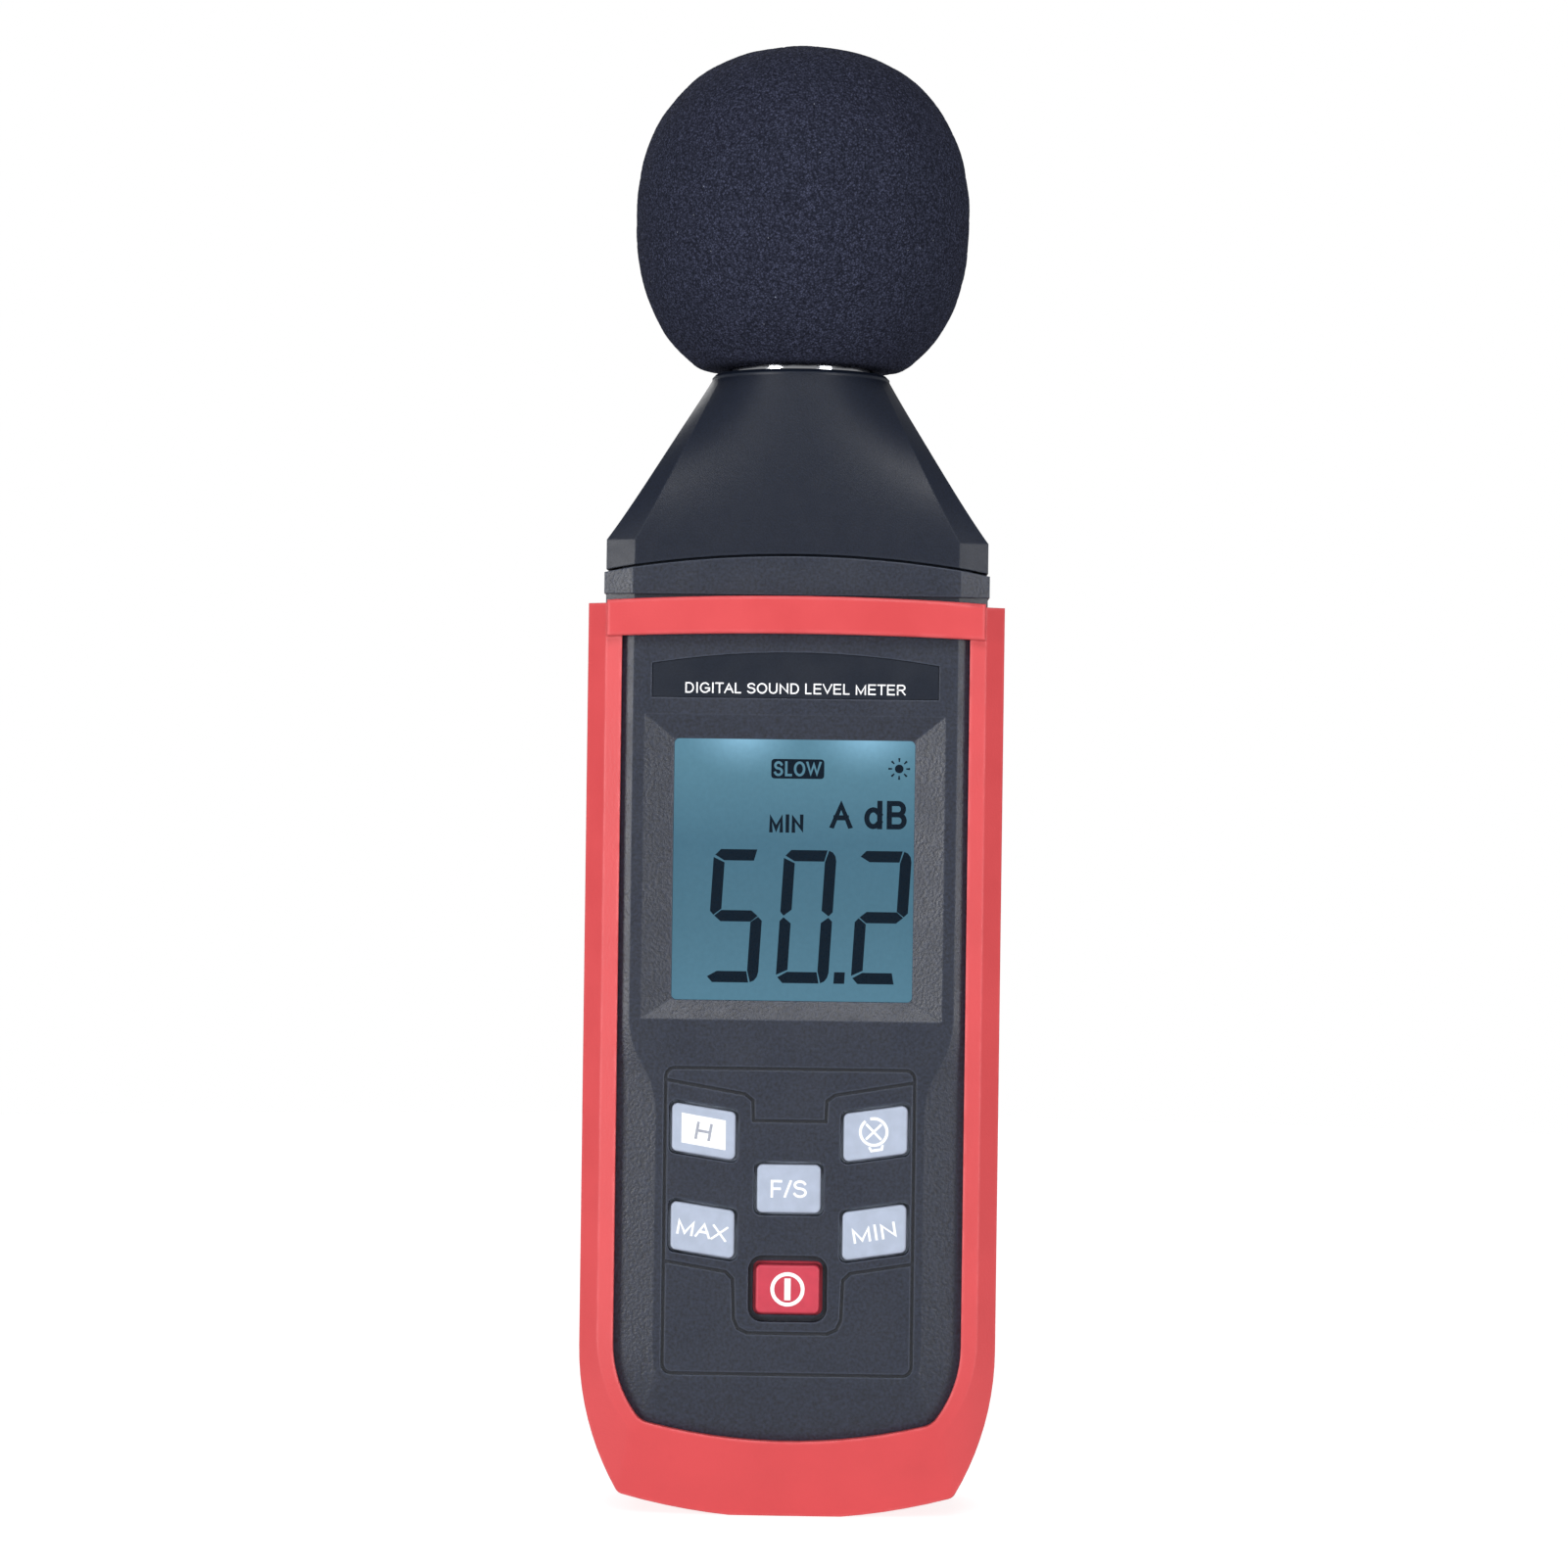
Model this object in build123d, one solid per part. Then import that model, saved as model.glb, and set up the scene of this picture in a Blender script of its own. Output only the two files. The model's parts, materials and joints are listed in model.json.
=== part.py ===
from build123d import *
import math
import os

# Sound level meter standing on its base. Millimetres, Z up along the length, the front faces -Y, the origin is
# under the microphone axis at the foot of the rubber boot.

# ------------------------------------------------------------------ driving dimensions
HEIGHT = 205.0
PARTING_Y = -1.0  # where the front and rear cases meet
WALL = 2.0

# Case, seen from the front: half widths, and heights above the foot.
CASE_HALF = 26.4
CASE_SIDE_FRONT = -12.0  # the flat sides run between these two depths
CASE_SIDE_BACK = 9.5
CASE_FRONT = -13.5
CASE_BACK = 14.0
CASE_TAPER = 22.0
CASE_CORNER = (21.4, 8.3)
CASE_FOOT = 6.0
PANEL_HALF = 22.4
KEYPAD_HALF = 18.5
PANEL_TAPER = 24.0
PANEL_CORNER = (18.0, 18.9)
PANEL_FOOT = 18.4
BACK_HALF = 22.8
BACK_CORNER = (18.0, 9.6)
BACK_FOOT = 6.6
WAIST_TOP = 69.0
WAIST_END = 55.5

# Collar and head.
COLLAR_BOTTOM = 127.35
COLLAR_PROUD = 0.25
COLLAR_FRONT = CASE_FRONT - 0.4
SEAM_CENTRE = 132.7
SEAM_SIDE = 130.3
SEAM_GAP = 0.35
SHOULDER = 134.8
HEAD_TOP = 158.8
HEAD_RIM_RADIUS = 12.5
HEAD_RIM_EDGE = 0.8
HEAD_FRONT_ANGLE = 63.0  # degrees each side of straight ahead that the front facet reaches at the rim
HEAD_SIDE_ANGLE = 78.0  # degrees where the bevel facet ends and the side facet begins
HEAD_SWEEP = 2.0  # the front and back leave the shoulder upright and lean in ever more towards the rim
HEAD_WAIST = 0.93  # below 1, the sides are slightly hollow
HEAD_LEVELS = 5

# Rubber boot.
BOOT_FIT = 0.15
BOOT_HALF = 28.8
BOOT_TOP = 126.0
BOOT_TAPER = 23.2
BOOT_CORNER = (23.2, 2.85)
BOOT_SAG = -0.35  # the foot's arc would reach this low, and is cut flat at 0 to stand on
BOOT_SIDE_FRONT = -11.5
BOOT_SIDE_BACK = 11.2
BOOT_BACK = 16.2
BOOT_BACK_HALF = 25.8
BOOT_BACK_CORNER = (21.0, 6.5)
BOOT_BACK_FOOT = 3.0
CREASE_Y = -13.6
CREASE_HALF = 26.2
CREASE_TAPER = 25.0
CREASE_CORNER = (21.4, 11.6)
CREASE_FOOT = 8.8
LIP_Y = -14.0
LIP_HALF = 24.0
LIP_CORNER = (20.1, 13.2)
LIP_FOOT = 10.6
STRAP_HALF = 26.1
STRAP_FRONT = -15.8
STRAP_END_FRONT = -15.1
STRAP_BACK = -14.05
STRAP_TOP = (126.4, 127.2)  # at the ends, at the middle
STRAP_BOTTOM = (121.4, 122.0)
STRAP_ROOT = -13.2
STRAP_EDGE = 0.4
WINDOW_HALF = 20.6
WINDOW_BOTTOM = 15.0
WINDOW_TOP = 109.5
WINDOW_CORNER = 5.0

# Front panel details.
TITLE_HALF = 19.8
TITLE_BOTTOM = 113.1
TITLE_SIDE = 117.8
TITLE_TOP = 119.45
TITLE_DEPTH = 0.4
TITLE_SUNK = 0.12
FRAME_HALF = 20.8
FRAME_BOTTOM = 68.7
FRAME_TOP = 110.8
FRAME_FLOOR = -12.3
SCREEN_HALF = 16.65
SCREEN_BOTTOM = 71.3
SCREEN_TOP = 107.45
SCREEN_CORNER = 0.7
GROOVE_WIDTH = 0.45
GROOVE_DEPTH = 0.3
GROOVE_HALF = 17.4
GROOVE_BOTTOM = 19.6
GROOVE_TOP = 62.2
GROOVE_CORNER = 1.5

# Keys.
KEY_WIDTH = 8.8
KEY_HEIGHT = 6.65
KEY_CORNER = 0.8
KEY_SLANT = 8.5  # degrees
KEY_FRONT = -13.95
KEY_EDGE = 0.35
KEY_GAP = 0.42
KEY_FLANGE = 0.7
KEY_FLANGE_FRONT = -11.45
KEY_FLANGE_BACK = -10.2
KEY_STEM_RADIUS = 2.2
KEY_STEM_BACK = -8.25
KEYS = {  # name: (x, z, slant direction)
    "hold_key": (-11.85, 53.25, -1),
    "backlight_key": (11.85, 53.25, 1),
    "fast_slow_key": (0.0, 45.5, 0),
    "max_key": (-11.85, 39.65, -1),
    "min_key": (11.85, 39.65, 1),
    "power_key": (0.0, 31.65, 0),
}
POWER_RECESS = (10.9, 9.2, 2.0)  # width, height, corner radius
POWER_RECESS_FLOOR = -12.1
KEYPAD_POCKET = (17.4, 26.5, 59.5)  # half width, bottom, top
KEYPAD_POCKET_BACK = -8.0

# Keypad mat and board.
MAT_HALF = 17.0
MAT_BOTTOM = 26.8
MAT_TOP = 58.2
MAT_FRONT = -7.3
BOARD_FRONT = -5.9
BOARD_BACK = -4.3
BOARD_HALF = 20.6
BOARD_BOTTOM = 19.0
BOARD_TOP = 117.0
BOARD_CORNER = 1.5
PILL_RADIUS = 2.0
PILL_THICKNESS = 0.4
PILL_POCKET_RADIUS = 2.7
PILL_POCKET_FRONT = -6.8

# Display stack, from the window back to the board.
LENS_HALF = 18.6
LENS_BOTTOM = 69.2
LENS_TOP = 109.4
LENS_FRONT = CASE_FRONT + WALL
LENS_BACK = -10.5
GLASS_HALF = 18.2
GLASS_BOTTOM = 67.8
GLASS_TOP = 109.0
GLASS_FRONT = -10.4
GLASS_BACK = -8.4
GUIDE_HALF = 17.5
GUIDE_BOTTOM = 70.6
GUIDE_TOP = 107.6
GUIDE_BACK = -6.2
ZEBRA_HALF = 16.0
ZEBRA_BOTTOM = 68.2
ZEBRA_TOP = 70.2
LCD_FRAME_HALF = 19.6
LCD_FRAME_BOTTOM = 66.4
LCD_FRAME_TOP = 110.4
LCD_FRAME_FIT = 0.1
LED_X = (-7.0, 9.6)
LED_SIZE = (3.0, 1.4, 1.2)

# Screws: (x, z) of each, head and shank radii.
CASE_SCREWS = [(-19.5, 118.5), (19.5, 118.5), (-18.5, 13.5), (18.5, 13.5)]
BOARD_SCREWS = [(-14.5, 114.0), (14.5, 114.0), (-14.0, 22.8), (14.0, 22.8)]
NOSE_SCREWS = [(-9.0, 122.5), (9.0, 122.5)]
SCREW_RADIUS = 1.25
SCREW_CLEARANCE = 0.25
SCREW_HEAD_RADIUS = 2.4
SCREW_HEAD_HEIGHT = 1.8
SCREW_SEAT = 11.2
CASE_SCREW_END = -6.0
CROSS_WIDTH = 0.6
CROSS_LENGTH = 2.8
CROSS_DEPTH = 1.0
CASE_BOSS_RADIUS = 3.0
BOARD_BOSS_RADIUS = 2.4
BOARD_SCREW_RADIUS = 0.9
BOARD_SCREW_END = -10.0
BOARD_SCREW_HEAD = (1.9, 1.2)  # radius, height

# Nose cone lugs.
LUG_HALF = 3.4
LUG_BOTTOM = 119.2
LUG_TOP = 136.0
LUG_FRONT = 3.6
LUG_BACK = 8.0
SPIGOT_BOTTOM = 126.5
SPIGOT_WALL = 1.2
SPIGOT_FIT = 0.1

# Battery bay.
CELL_RADIUS = 5.2
CELL_LENGTH = 44.5
CELL_NUB = (1.9, 1.0)  # radius, height
CELL_PITCH = 11.4
CELL_Y = 6.6
BAY_HALF = 17.6
BAY_BOTTOM = 19.4
BAY_TOP = 71.0
BAY_FRONT = 1.3
BAY_WALL = 1.0
CONTACT_THICKNESS = 0.4
CONTACT_SIZE = 8.6
TAB_WIDTH = 2.4
TAB_LENGTH = 2.4
TAB_Y = 2.6
TAB_THICKNESS = 0.6
SPRING_WIRE = 0.35
SPRING_RADIUS = 3.3
SPRING_TURNS = 4
DOOR_FRONT = 12.0
DOOR_HALF = 18.4
DOOR_BOTTOM = 17.75
DOOR_TOP = 72.75
DOOR_GAP = 0.15
DOOR_CORNER = 1.5
GRIP_RIBS = 5
GRIP_PITCH = 1.5
GRIP_HALF = 7.0
GRIP_TOP = 69.5
GRIP_GROOVE = (0.7, 0.5)  # height, depth

# Back of the case.
INSERT_Z = 84.0
INSERT_RADIUS = 4.4
INSERT_FRONT = 6.0
THREAD_RADIUS = 2.6
THREAD_FRONT = 6.8
INSERT_BOSS_RADIUS = 6.4
INSERT_BOSS_FRONT = 5.0
LABEL_HALF = 16.0
LABEL_BOTTOM = 93.5
LABEL_TOP = 106.5
LABEL_CORNER = 1.2
LABEL_THICKNESS = 0.3
LABEL_SUNK = 0.1

# Microphone.
TUBE_RADIUS = 6.35
TUBE_BORE = 5.7
TUBE_BOTTOM = 142.0
TUBE_TOP = 176.0
BUSH_RADIUS = 8.0
BUSH_BOTTOM = 154.5
RING_RADIUS = 9.8
RING_TOP = 161.0
RING_EDGE = 0.5
CAPSULE_RADIUS = 5.6
CAPSULE_BOTTOM = 170.6
CAPSULE_TOP = 175.8
INSULATOR_BOTTOM = 169.0
INSULATOR_BORE = 1.3
GRID_TOP = 180.0
GRID_WALL = 0.8
GRID_SLOT = 0.7
GRID_SLOT_PITCH = 1.6
GRID_SLOTS = 5

# Foam windscreen.
FOAM_RADIUS = 23.4
FOAM_CENTRE = 181.0
FOAM_LOWER = 25.1  # the lower half would reach this far below the centre if it were closed
FOAM_POWER = 2.35  # exponent of the rounded-square profile
FOAM_BOTTOM = 159.6
FOAM_BORE = 6.6
FOAM_BORE_TOP = 181.0
FOAM_POCKET = 10.1
FOAM_POCKET_TOP = 161.4
FOAM_POINTS = 9

# Electronics on the back of the board: (x, z, width, height, thickness).
MCU = (0.0, 92.0, 10.0, 10.0, 1.4)
CHIPS = [(-12.0, 104.0, 5.0, 6.2, 1.5), (-12.0, 58.0, 5.0, 6.2, 1.5), (11.0, 62.0, 4.0, 5.0, 1.2)]
CAPACITORS = [(-15.5, 94.0), (-15.5, 84.0), (15.5, 82.0), (15.5, 72.0)]
CAPACITOR_RADIUS = 2.0
CAPACITOR_HEIGHT = 3.6
RESISTOR_COLUMNS = (-9.0, 9.0)
RESISTOR_ROWS = (78.0, 75.0, 72.0, 69.0, 66.0)
RESISTOR_SIZE = (2.0, 0.5, 1.25)
CRYSTAL = (8.5, 100.0, 3.4, 7.0, 2.4)
PIN_SIZE = 0.4
PIN_PITCH = 1.25
TRIMMER = (14.0, 102.0)
TRIMMER_SIZE = 6.6
TRIMMER_BACK = -0.6
TRIMMER_POCKET_FRONT = -2.2
ROTOR_RADIUS = 2.2
ROTOR_FIT = 0.06
ROTOR_BACK = -0.3
ROTOR_SLOT = (0.6, 0.7)  # width, depth
HEADER_BACK = -1.2
POSITIVE_HEADER = (-9.4, 87.0)  # centre x, height of the face that the lead enters
NEGATIVE_HEADER = (6.0, 21.0)
SIGNAL_HEADER = (4.0, 112.0)
HEADER_SIZE = (5.0, 4.0)  # width, height
LEAD_RADIUS = 0.55
CABLE_RADIUS = 0.9

# Routes of the inner leads, from end to end.
LEAD_Y = -2.8
POSITIVE_ROUTE = [
    (-CELL_PITCH, TAB_Y, BAY_TOP + TAB_LENGTH),
    (-CELL_PITCH, TAB_Y, 77.0),
    (-10.4, -0.6, 79.8),
    (POSITIVE_HEADER[0], LEAD_Y, 82.4),
    (POSITIVE_HEADER[0], LEAD_Y, POSITIVE_HEADER[1]),
]
NEGATIVE_ROUTE = [
    (CELL_PITCH, TAB_Y, BAY_BOTTOM - TAB_LENGTH),
    (CELL_PITCH, TAB_Y, 13.6),
    (9.4, 0.8, 11.4),
    (7.4, -1.4, 12.4),
    (NEGATIVE_HEADER[0], LEAD_Y, 15.8),
    (NEGATIVE_HEADER[0], LEAD_Y, NEGATIVE_HEADER[1]),
]
SIGNAL_ROUTE = [
    (0.0, 0.0, INSULATOR_BOTTOM),
    (0.0, 0.0, 150.0),
    (2.8, -1.2, 136.0),
    (SIGNAL_HEADER[0], LEAD_Y, 124.0),
    (SIGNAL_HEADER[0], LEAD_Y, SIGNAL_HEADER[1]),
]


# ------------------------------------------------------------------ helpers
def front_plane(y):
    """A plane at depth y whose sketch coordinates are X across and Z up, facing the front."""
    return Plane(origin=(0, y, 0), x_dir=(1, 0, 0), z_dir=(0, -1, 0))


def prism(outline, y_front, y_back):
    """The front-view outline, solid between two depths."""
    return extrude(front_plane(y_back) * outline, amount=y_back - y_front)


def bridge(outline_a, y_a, outline_b, y_b):
    """A solid with straight facets between two front-view outlines at two depths."""
    return loft([front_plane(y_a) * outline_a, front_plane(y_b) * outline_b], ruled=True)


def block(x_range, y_range, z_range):
    """A box given by its limits."""
    sizes = [high - low for low, high in (x_range, y_range, z_range)]
    middle = [(low + high) / 2 for low, high in (x_range, y_range, z_range)]
    return Pos(*middle) * Box(*sizes)


def rod_y(x, z, radius, y_front, y_back):
    """A cylinder along Y."""
    return Pos(x, (y_front + y_back) / 2, z) * Rot(90, 0, 0) * Cylinder(radius, y_back - y_front)


def rod_z(x, y, radius, z_bottom, z_top):
    """A cylinder along Z."""
    return Pos(x, y, (z_bottom + z_top) / 2) * Cylinder(radius, z_top - z_bottom)


def ring_z(radius, bore, z_bottom, z_top):
    """A ring about the microphone axis."""
    return rod_z(0, 0, radius, z_bottom, z_top) - rod_z(0, 0, bore, z_bottom - 1, z_top + 1)


def panel_rectangle(half, bottom, top, corner):
    """A front-view rectangle about x = 0 with rounded corners."""
    return Pos(0, (bottom + top) / 2) * RectangleRounded(2 * half, top - bottom, corner)


def shield(upper, lower, top, taper, corner, corner_radius, foot):
    """Front-view outline: straight sides that may step in at the waist, drawn in below taper to an arched foot."""
    corner_x, corner_z = corner
    middle = ((upper + lower) / 2, (WAIST_TOP + WAIST_END) / 2)
    edges = [
        Line((-upper, top), (upper, top)),
        ThreePointArc((-corner_x, corner_z), (0, foot), (corner_x, corner_z)),
    ]
    for side in (-1, 1):
        waist_top = (side * upper, WAIST_TOP)
        waist_middle = (side * middle[0], middle[1])
        waist_end = (side * lower, WAIST_END)
        edges.append(Line((side * upper, top), waist_top))
        if upper > lower:
            edges.append(TangentArc(waist_top, waist_middle, tangent=(0, -1)))
            edges.append(TangentArc(waist_end, waist_middle, tangent=(0, 1)))
        else:
            edges.append(Line(waist_top, waist_middle))
            edges.append(Line(waist_middle, waist_end))
        edges.append(Line(waist_end, (side * lower, taper)))
        edges.append(TangentArc((side * lower, taper), (side * corner_x, corner_z), tangent=(0, -1)))
    outline = make_face(edges)
    turns = outline.vertices().filter_by(lambda v: abs(v.Y - corner_z) < 1e-4)
    return fillet(turns, corner_radius)


def envelope(grow, front, back, top):
    """The case's outer form, grown by an amount all round, between a front and a back depth."""

    def outline(upper, lower, taper, corner, corner_radius, foot):
        grown = (corner[0] + grow, corner[1] - grow)
        return shield(upper + grow, lower + grow, top, taper, grown, corner_radius, foot - grow)

    side_front = CASE_SIDE_FRONT - grow / 2
    side = outline(CASE_HALF, CASE_HALF, CASE_TAPER, CASE_CORNER, 2.0, CASE_FOOT)
    panel = outline(PANEL_HALF, KEYPAD_HALF, PANEL_TAPER, PANEL_CORNER, 2.2, PANEL_FOOT)
    rear = outline(BACK_HALF, BACK_HALF, CASE_TAPER, BACK_CORNER, 2.0, BACK_FOOT)
    return (
        bridge(side, side_front, panel, front)
        + prism(side, side_front, CASE_SIDE_BACK)
        + bridge(side, CASE_SIDE_BACK, rear, back)
    )


def below_seam(gap=0.0):
    """Everything under the arched seam between the case and the head."""
    reach = 2 * CASE_HALF
    slope = (SEAM_CENTRE - SEAM_SIDE) / CASE_HALF**2
    edge_z = SEAM_CENTRE - slope * reach**2 + gap
    outline = make_face(
        [
            ThreePointArc((-reach, edge_z), (0, SEAM_CENTRE + gap), (reach, edge_z)),
            Line((reach, edge_z), (reach, -10)),
            Line((reach, -10), (-reach, -10)),
            Line((-reach, -10), (-reach, edge_z)),
        ]
    )
    return prism(outline, -30, 30)


def key_outline(name, grow=0.0):
    """A key's front-view outline: upright sides, with top and bottom slanted on the outer keys."""
    x, z, lean = KEYS[name]
    half_width = KEY_WIDTH / 2 + grow
    half_height = KEY_HEIGHT / 2 + grow
    rise = lean * half_width * math.tan(math.radians(KEY_SLANT))
    corners = [
        (x - half_width, z - half_height - rise),
        (x + half_width, z - half_height + rise),
        (x + half_width, z + half_height + rise),
        (x - half_width, z + half_height - rise),
    ]
    outline = Polygon(*corners, align=None)
    return fillet(outline.vertices(), KEY_CORNER + grow / 2)


def stroke(points, width):
    """A front-view line of constant width through the points, with round turns."""
    shape = Sketch()
    for (x0, z0), (x1, z1) in zip(points, points[1:]):
        length = math.hypot(x1 - x0, z1 - z0)
        angle = math.degrees(math.atan2(z1 - z0, x1 - x0))
        shape += Pos((x0 + x1) / 2, (z0 + z1) / 2) * Rot(0, 0, angle) * Rectangle(length, width)
    for x, z in points:
        shape += Pos(x, z) * Circle(width / 2)
    return shape


def mirror_x(points):
    """The same points on the other side."""
    return [(-x, z) for x, z in points]


def lead(route, radius):
    """An insulated lead through the route's points, its turns as large as the runs allow."""
    points = [Vector(*point) for point in route]
    radii = []
    for before, here, after in zip(points, points[1:], points[2:]):
        turn = (here - before).get_angle(after - here)
        run = min((here - before).length, (after - here).length)
        radii.append(0.45 * run / math.tan(math.radians(turn / 2)))
    print("lead radii:", [round(value, 1) for value in radii])
    path = FilletPolyline(*points, radius=radii)
    return sweep(Plane(origin=path @ 0, z_dir=path % 0) * Circle(radius), path=path)


def cross_recess(x, z, y_back):
    """The cross cut in a screw head."""
    depth = (y_back - CROSS_DEPTH, y_back + 1)
    arm = CROSS_LENGTH / 2
    half = CROSS_WIDTH / 2
    return block((x - arm, x + arm), depth, (z - half, z + half)) + block(
        (x - half, x + half), depth, (z - arm, z + arm)
    )


def screw_group(places, seat, end, radius, head_radius, head_height):
    """Pan-head screws driven from the back."""
    screws = []
    for x, z in places:
        head = rod_y(x, z, head_radius, seat, seat + head_height)
        head = fillet(head.edges().filter_by(GeomType.CIRCLE).sort_by(Axis.Y)[-1], head_height * 0.4)
        screws.append(head + rod_y(x, z, radius, end, seat) - cross_recess(x, z, seat + head_height))
    return Compound(children=screws)


# ------------------------------------------------------------------ boot
def boot():
    """Rubber holster: a tray with a lip round the front, a strap over the top and a window in the back."""
    outer = shield(BOOT_HALF, BOOT_HALF, BOOT_TOP, BOOT_TAPER, BOOT_CORNER, 1.5, BOOT_SAG)
    crease = shield(CREASE_HALF, CREASE_HALF, BOOT_TOP, CREASE_TAPER, CREASE_CORNER, 2.0, CREASE_FOOT)
    opening = shield(LIP_HALF, LIP_HALF, BOOT_TOP, PANEL_TAPER, LIP_CORNER, 3.0, LIP_FOOT)
    rear = shield(BOOT_BACK_HALF, BOOT_BACK_HALF, BOOT_TOP, BOOT_TAPER, BOOT_BACK_CORNER, 1.5, BOOT_BACK_FOOT)
    body = (
        bridge(outer, BOOT_SIDE_FRONT, crease, CREASE_Y)
        + bridge(crease, CREASE_Y, opening, LIP_Y)
        + prism(outer, BOOT_SIDE_FRONT, BOOT_SIDE_BACK)
        + bridge(outer, BOOT_SIDE_BACK, rear, BOOT_BACK)
    )
    body -= envelope(BOOT_FIT, CASE_FRONT - BOOT_FIT, CASE_BACK + BOOT_FIT, SHOULDER)
    body -= prism(opening, LIP_Y - 1, 0)
    window = panel_rectangle(WINDOW_HALF, WINDOW_BOTTOM, WINDOW_TOP, WINDOW_CORNER)
    body -= prism(window, CASE_BACK - 1, BOOT_BACK + 1)
    body += strap()
    return body & block((-40, 40), (-40, 40), (0, 140))


def strap():
    """The band across the front at the top of the boot, bowed forward and rooted in the lip at both ends."""
    outline = make_face(
        [
            ThreePointArc((-STRAP_HALF, STRAP_TOP[0]), (0, STRAP_TOP[1]), (STRAP_HALF, STRAP_TOP[0])),
            Line((STRAP_HALF, STRAP_TOP[0]), (STRAP_HALF, STRAP_BOTTOM[0])),
            ThreePointArc((STRAP_HALF, STRAP_BOTTOM[0]), (0, STRAP_BOTTOM[1]), (-STRAP_HALF, STRAP_BOTTOM[0])),
            Line((-STRAP_HALF, STRAP_BOTTOM[0]), (-STRAP_HALF, STRAP_TOP[0])),
        ]
    )
    plan = make_face(
        [
            ThreePointArc((-STRAP_HALF, STRAP_END_FRONT), (0, STRAP_FRONT), (STRAP_HALF, STRAP_END_FRONT)),
            Line((STRAP_HALF, STRAP_END_FRONT), (STRAP_HALF, STRAP_BACK)),
            Line((STRAP_HALF, STRAP_BACK), (-STRAP_HALF, STRAP_BACK)),
            Line((-STRAP_HALF, STRAP_BACK), (-STRAP_HALF, STRAP_END_FRONT)),
        ]
    )
    band = prism(outline, STRAP_FRONT - 1, STRAP_BACK) & extrude(plan, amount=HEIGHT)
    band = fillet(band.faces().sort_by(Axis.Y)[0].edges(), STRAP_EDGE)
    ends = prism(outline, STRAP_BACK, STRAP_ROOT) & block((-40, 40), (-40, 40), (STRAP_BOTTOM[0] - 1, BOOT_TOP))
    ends -= block((-LIP_HALF, LIP_HALF), (-40, 40), (0, HEIGHT))
    return band + ends


# ------------------------------------------------------------------ case
def case_outer():
    """Both case halves as one solid block, up to the seam."""
    lower = envelope(0, CASE_FRONT, CASE_BACK, COLLAR_BOTTOM)
    collar = envelope(COLLAR_PROUD, COLLAR_FRONT, CASE_BACK + COLLAR_PROUD, SHOULDER)
    collar &= block((-40, 40), (-40, 40), (COLLAR_BOTTOM, HEIGHT))
    return (lower + collar) & below_seam()


def case_cavity():
    """The room inside the case, open at the top."""
    return envelope(-WALL, CASE_FRONT + WALL, CASE_BACK - WALL, SHOULDER)


def keypad_grooves():
    """The engraved outline of the keypad and the two stepped lines in it."""
    border = panel_rectangle(GROOVE_HALF, GROOVE_BOTTOM, GROOVE_TOP, GROOVE_CORNER)
    inner = panel_rectangle(
        GROOVE_HALF - GROOVE_WIDTH, GROOVE_BOTTOM + GROOVE_WIDTH, GROOVE_TOP - GROOVE_WIDTH,
        GROOVE_CORNER - GROOVE_WIDTH,
    )
    edge = GROOVE_HALF - GROOVE_WIDTH / 2
    upper_half = [(edge, 60.3), (6.2, 58.45), (5.1, 57.6), (5.0, 54.8), (0, 54.8)]
    lower_half = [(edge, 35.3), (8.6, 33.9), (7.6, 32.9), (7.4, 27.4), (6.8, 26.1), (5.5, 25.5), (0, 25.5)]
    shape = border - inner
    for line in (upper_half, lower_half):
        shape += stroke(line, GROOVE_WIDTH) + stroke(mirror_x(line), GROOVE_WIDTH)
    return prism(shape, CASE_FRONT - 1, CASE_FRONT + GROOVE_DEPTH)


def title_outline(grow=0.0):
    """The arched plate under the strap."""
    half = TITLE_HALF + grow
    side = TITLE_SIDE + grow
    bottom = TITLE_BOTTOM - grow
    return make_face(
        [
            ThreePointArc((-half, side), (0, TITLE_TOP + grow), (half, side)),
            Line((half, side), (half, bottom)),
            Line((half, bottom), (-half, bottom)),
            Line((-half, bottom), (-half, side)),
        ]
    )


def display_frame_cut():
    """The picture-frame recess with mitred sides, and the display window through its floor."""
    height = FRAME_TOP - FRAME_BOTTOM
    middle = (FRAME_TOP + FRAME_BOTTOM) / 2
    rim = Pos(0, middle) * Rectangle(2 * FRAME_HALF, height)
    floor = Pos(0, (SCREEN_TOP + SCREEN_BOTTOM) / 2) * Rectangle(2 * SCREEN_HALF, SCREEN_TOP - SCREEN_BOTTOM)
    screen = panel_rectangle(SCREEN_HALF, SCREEN_BOTTOM, SCREEN_TOP, SCREEN_CORNER)
    recess = bridge(rim, CASE_FRONT, floor, FRAME_FLOOR)
    return recess + prism(screen, FRAME_FLOOR - 0.1, LENS_FRONT + 1)


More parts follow.
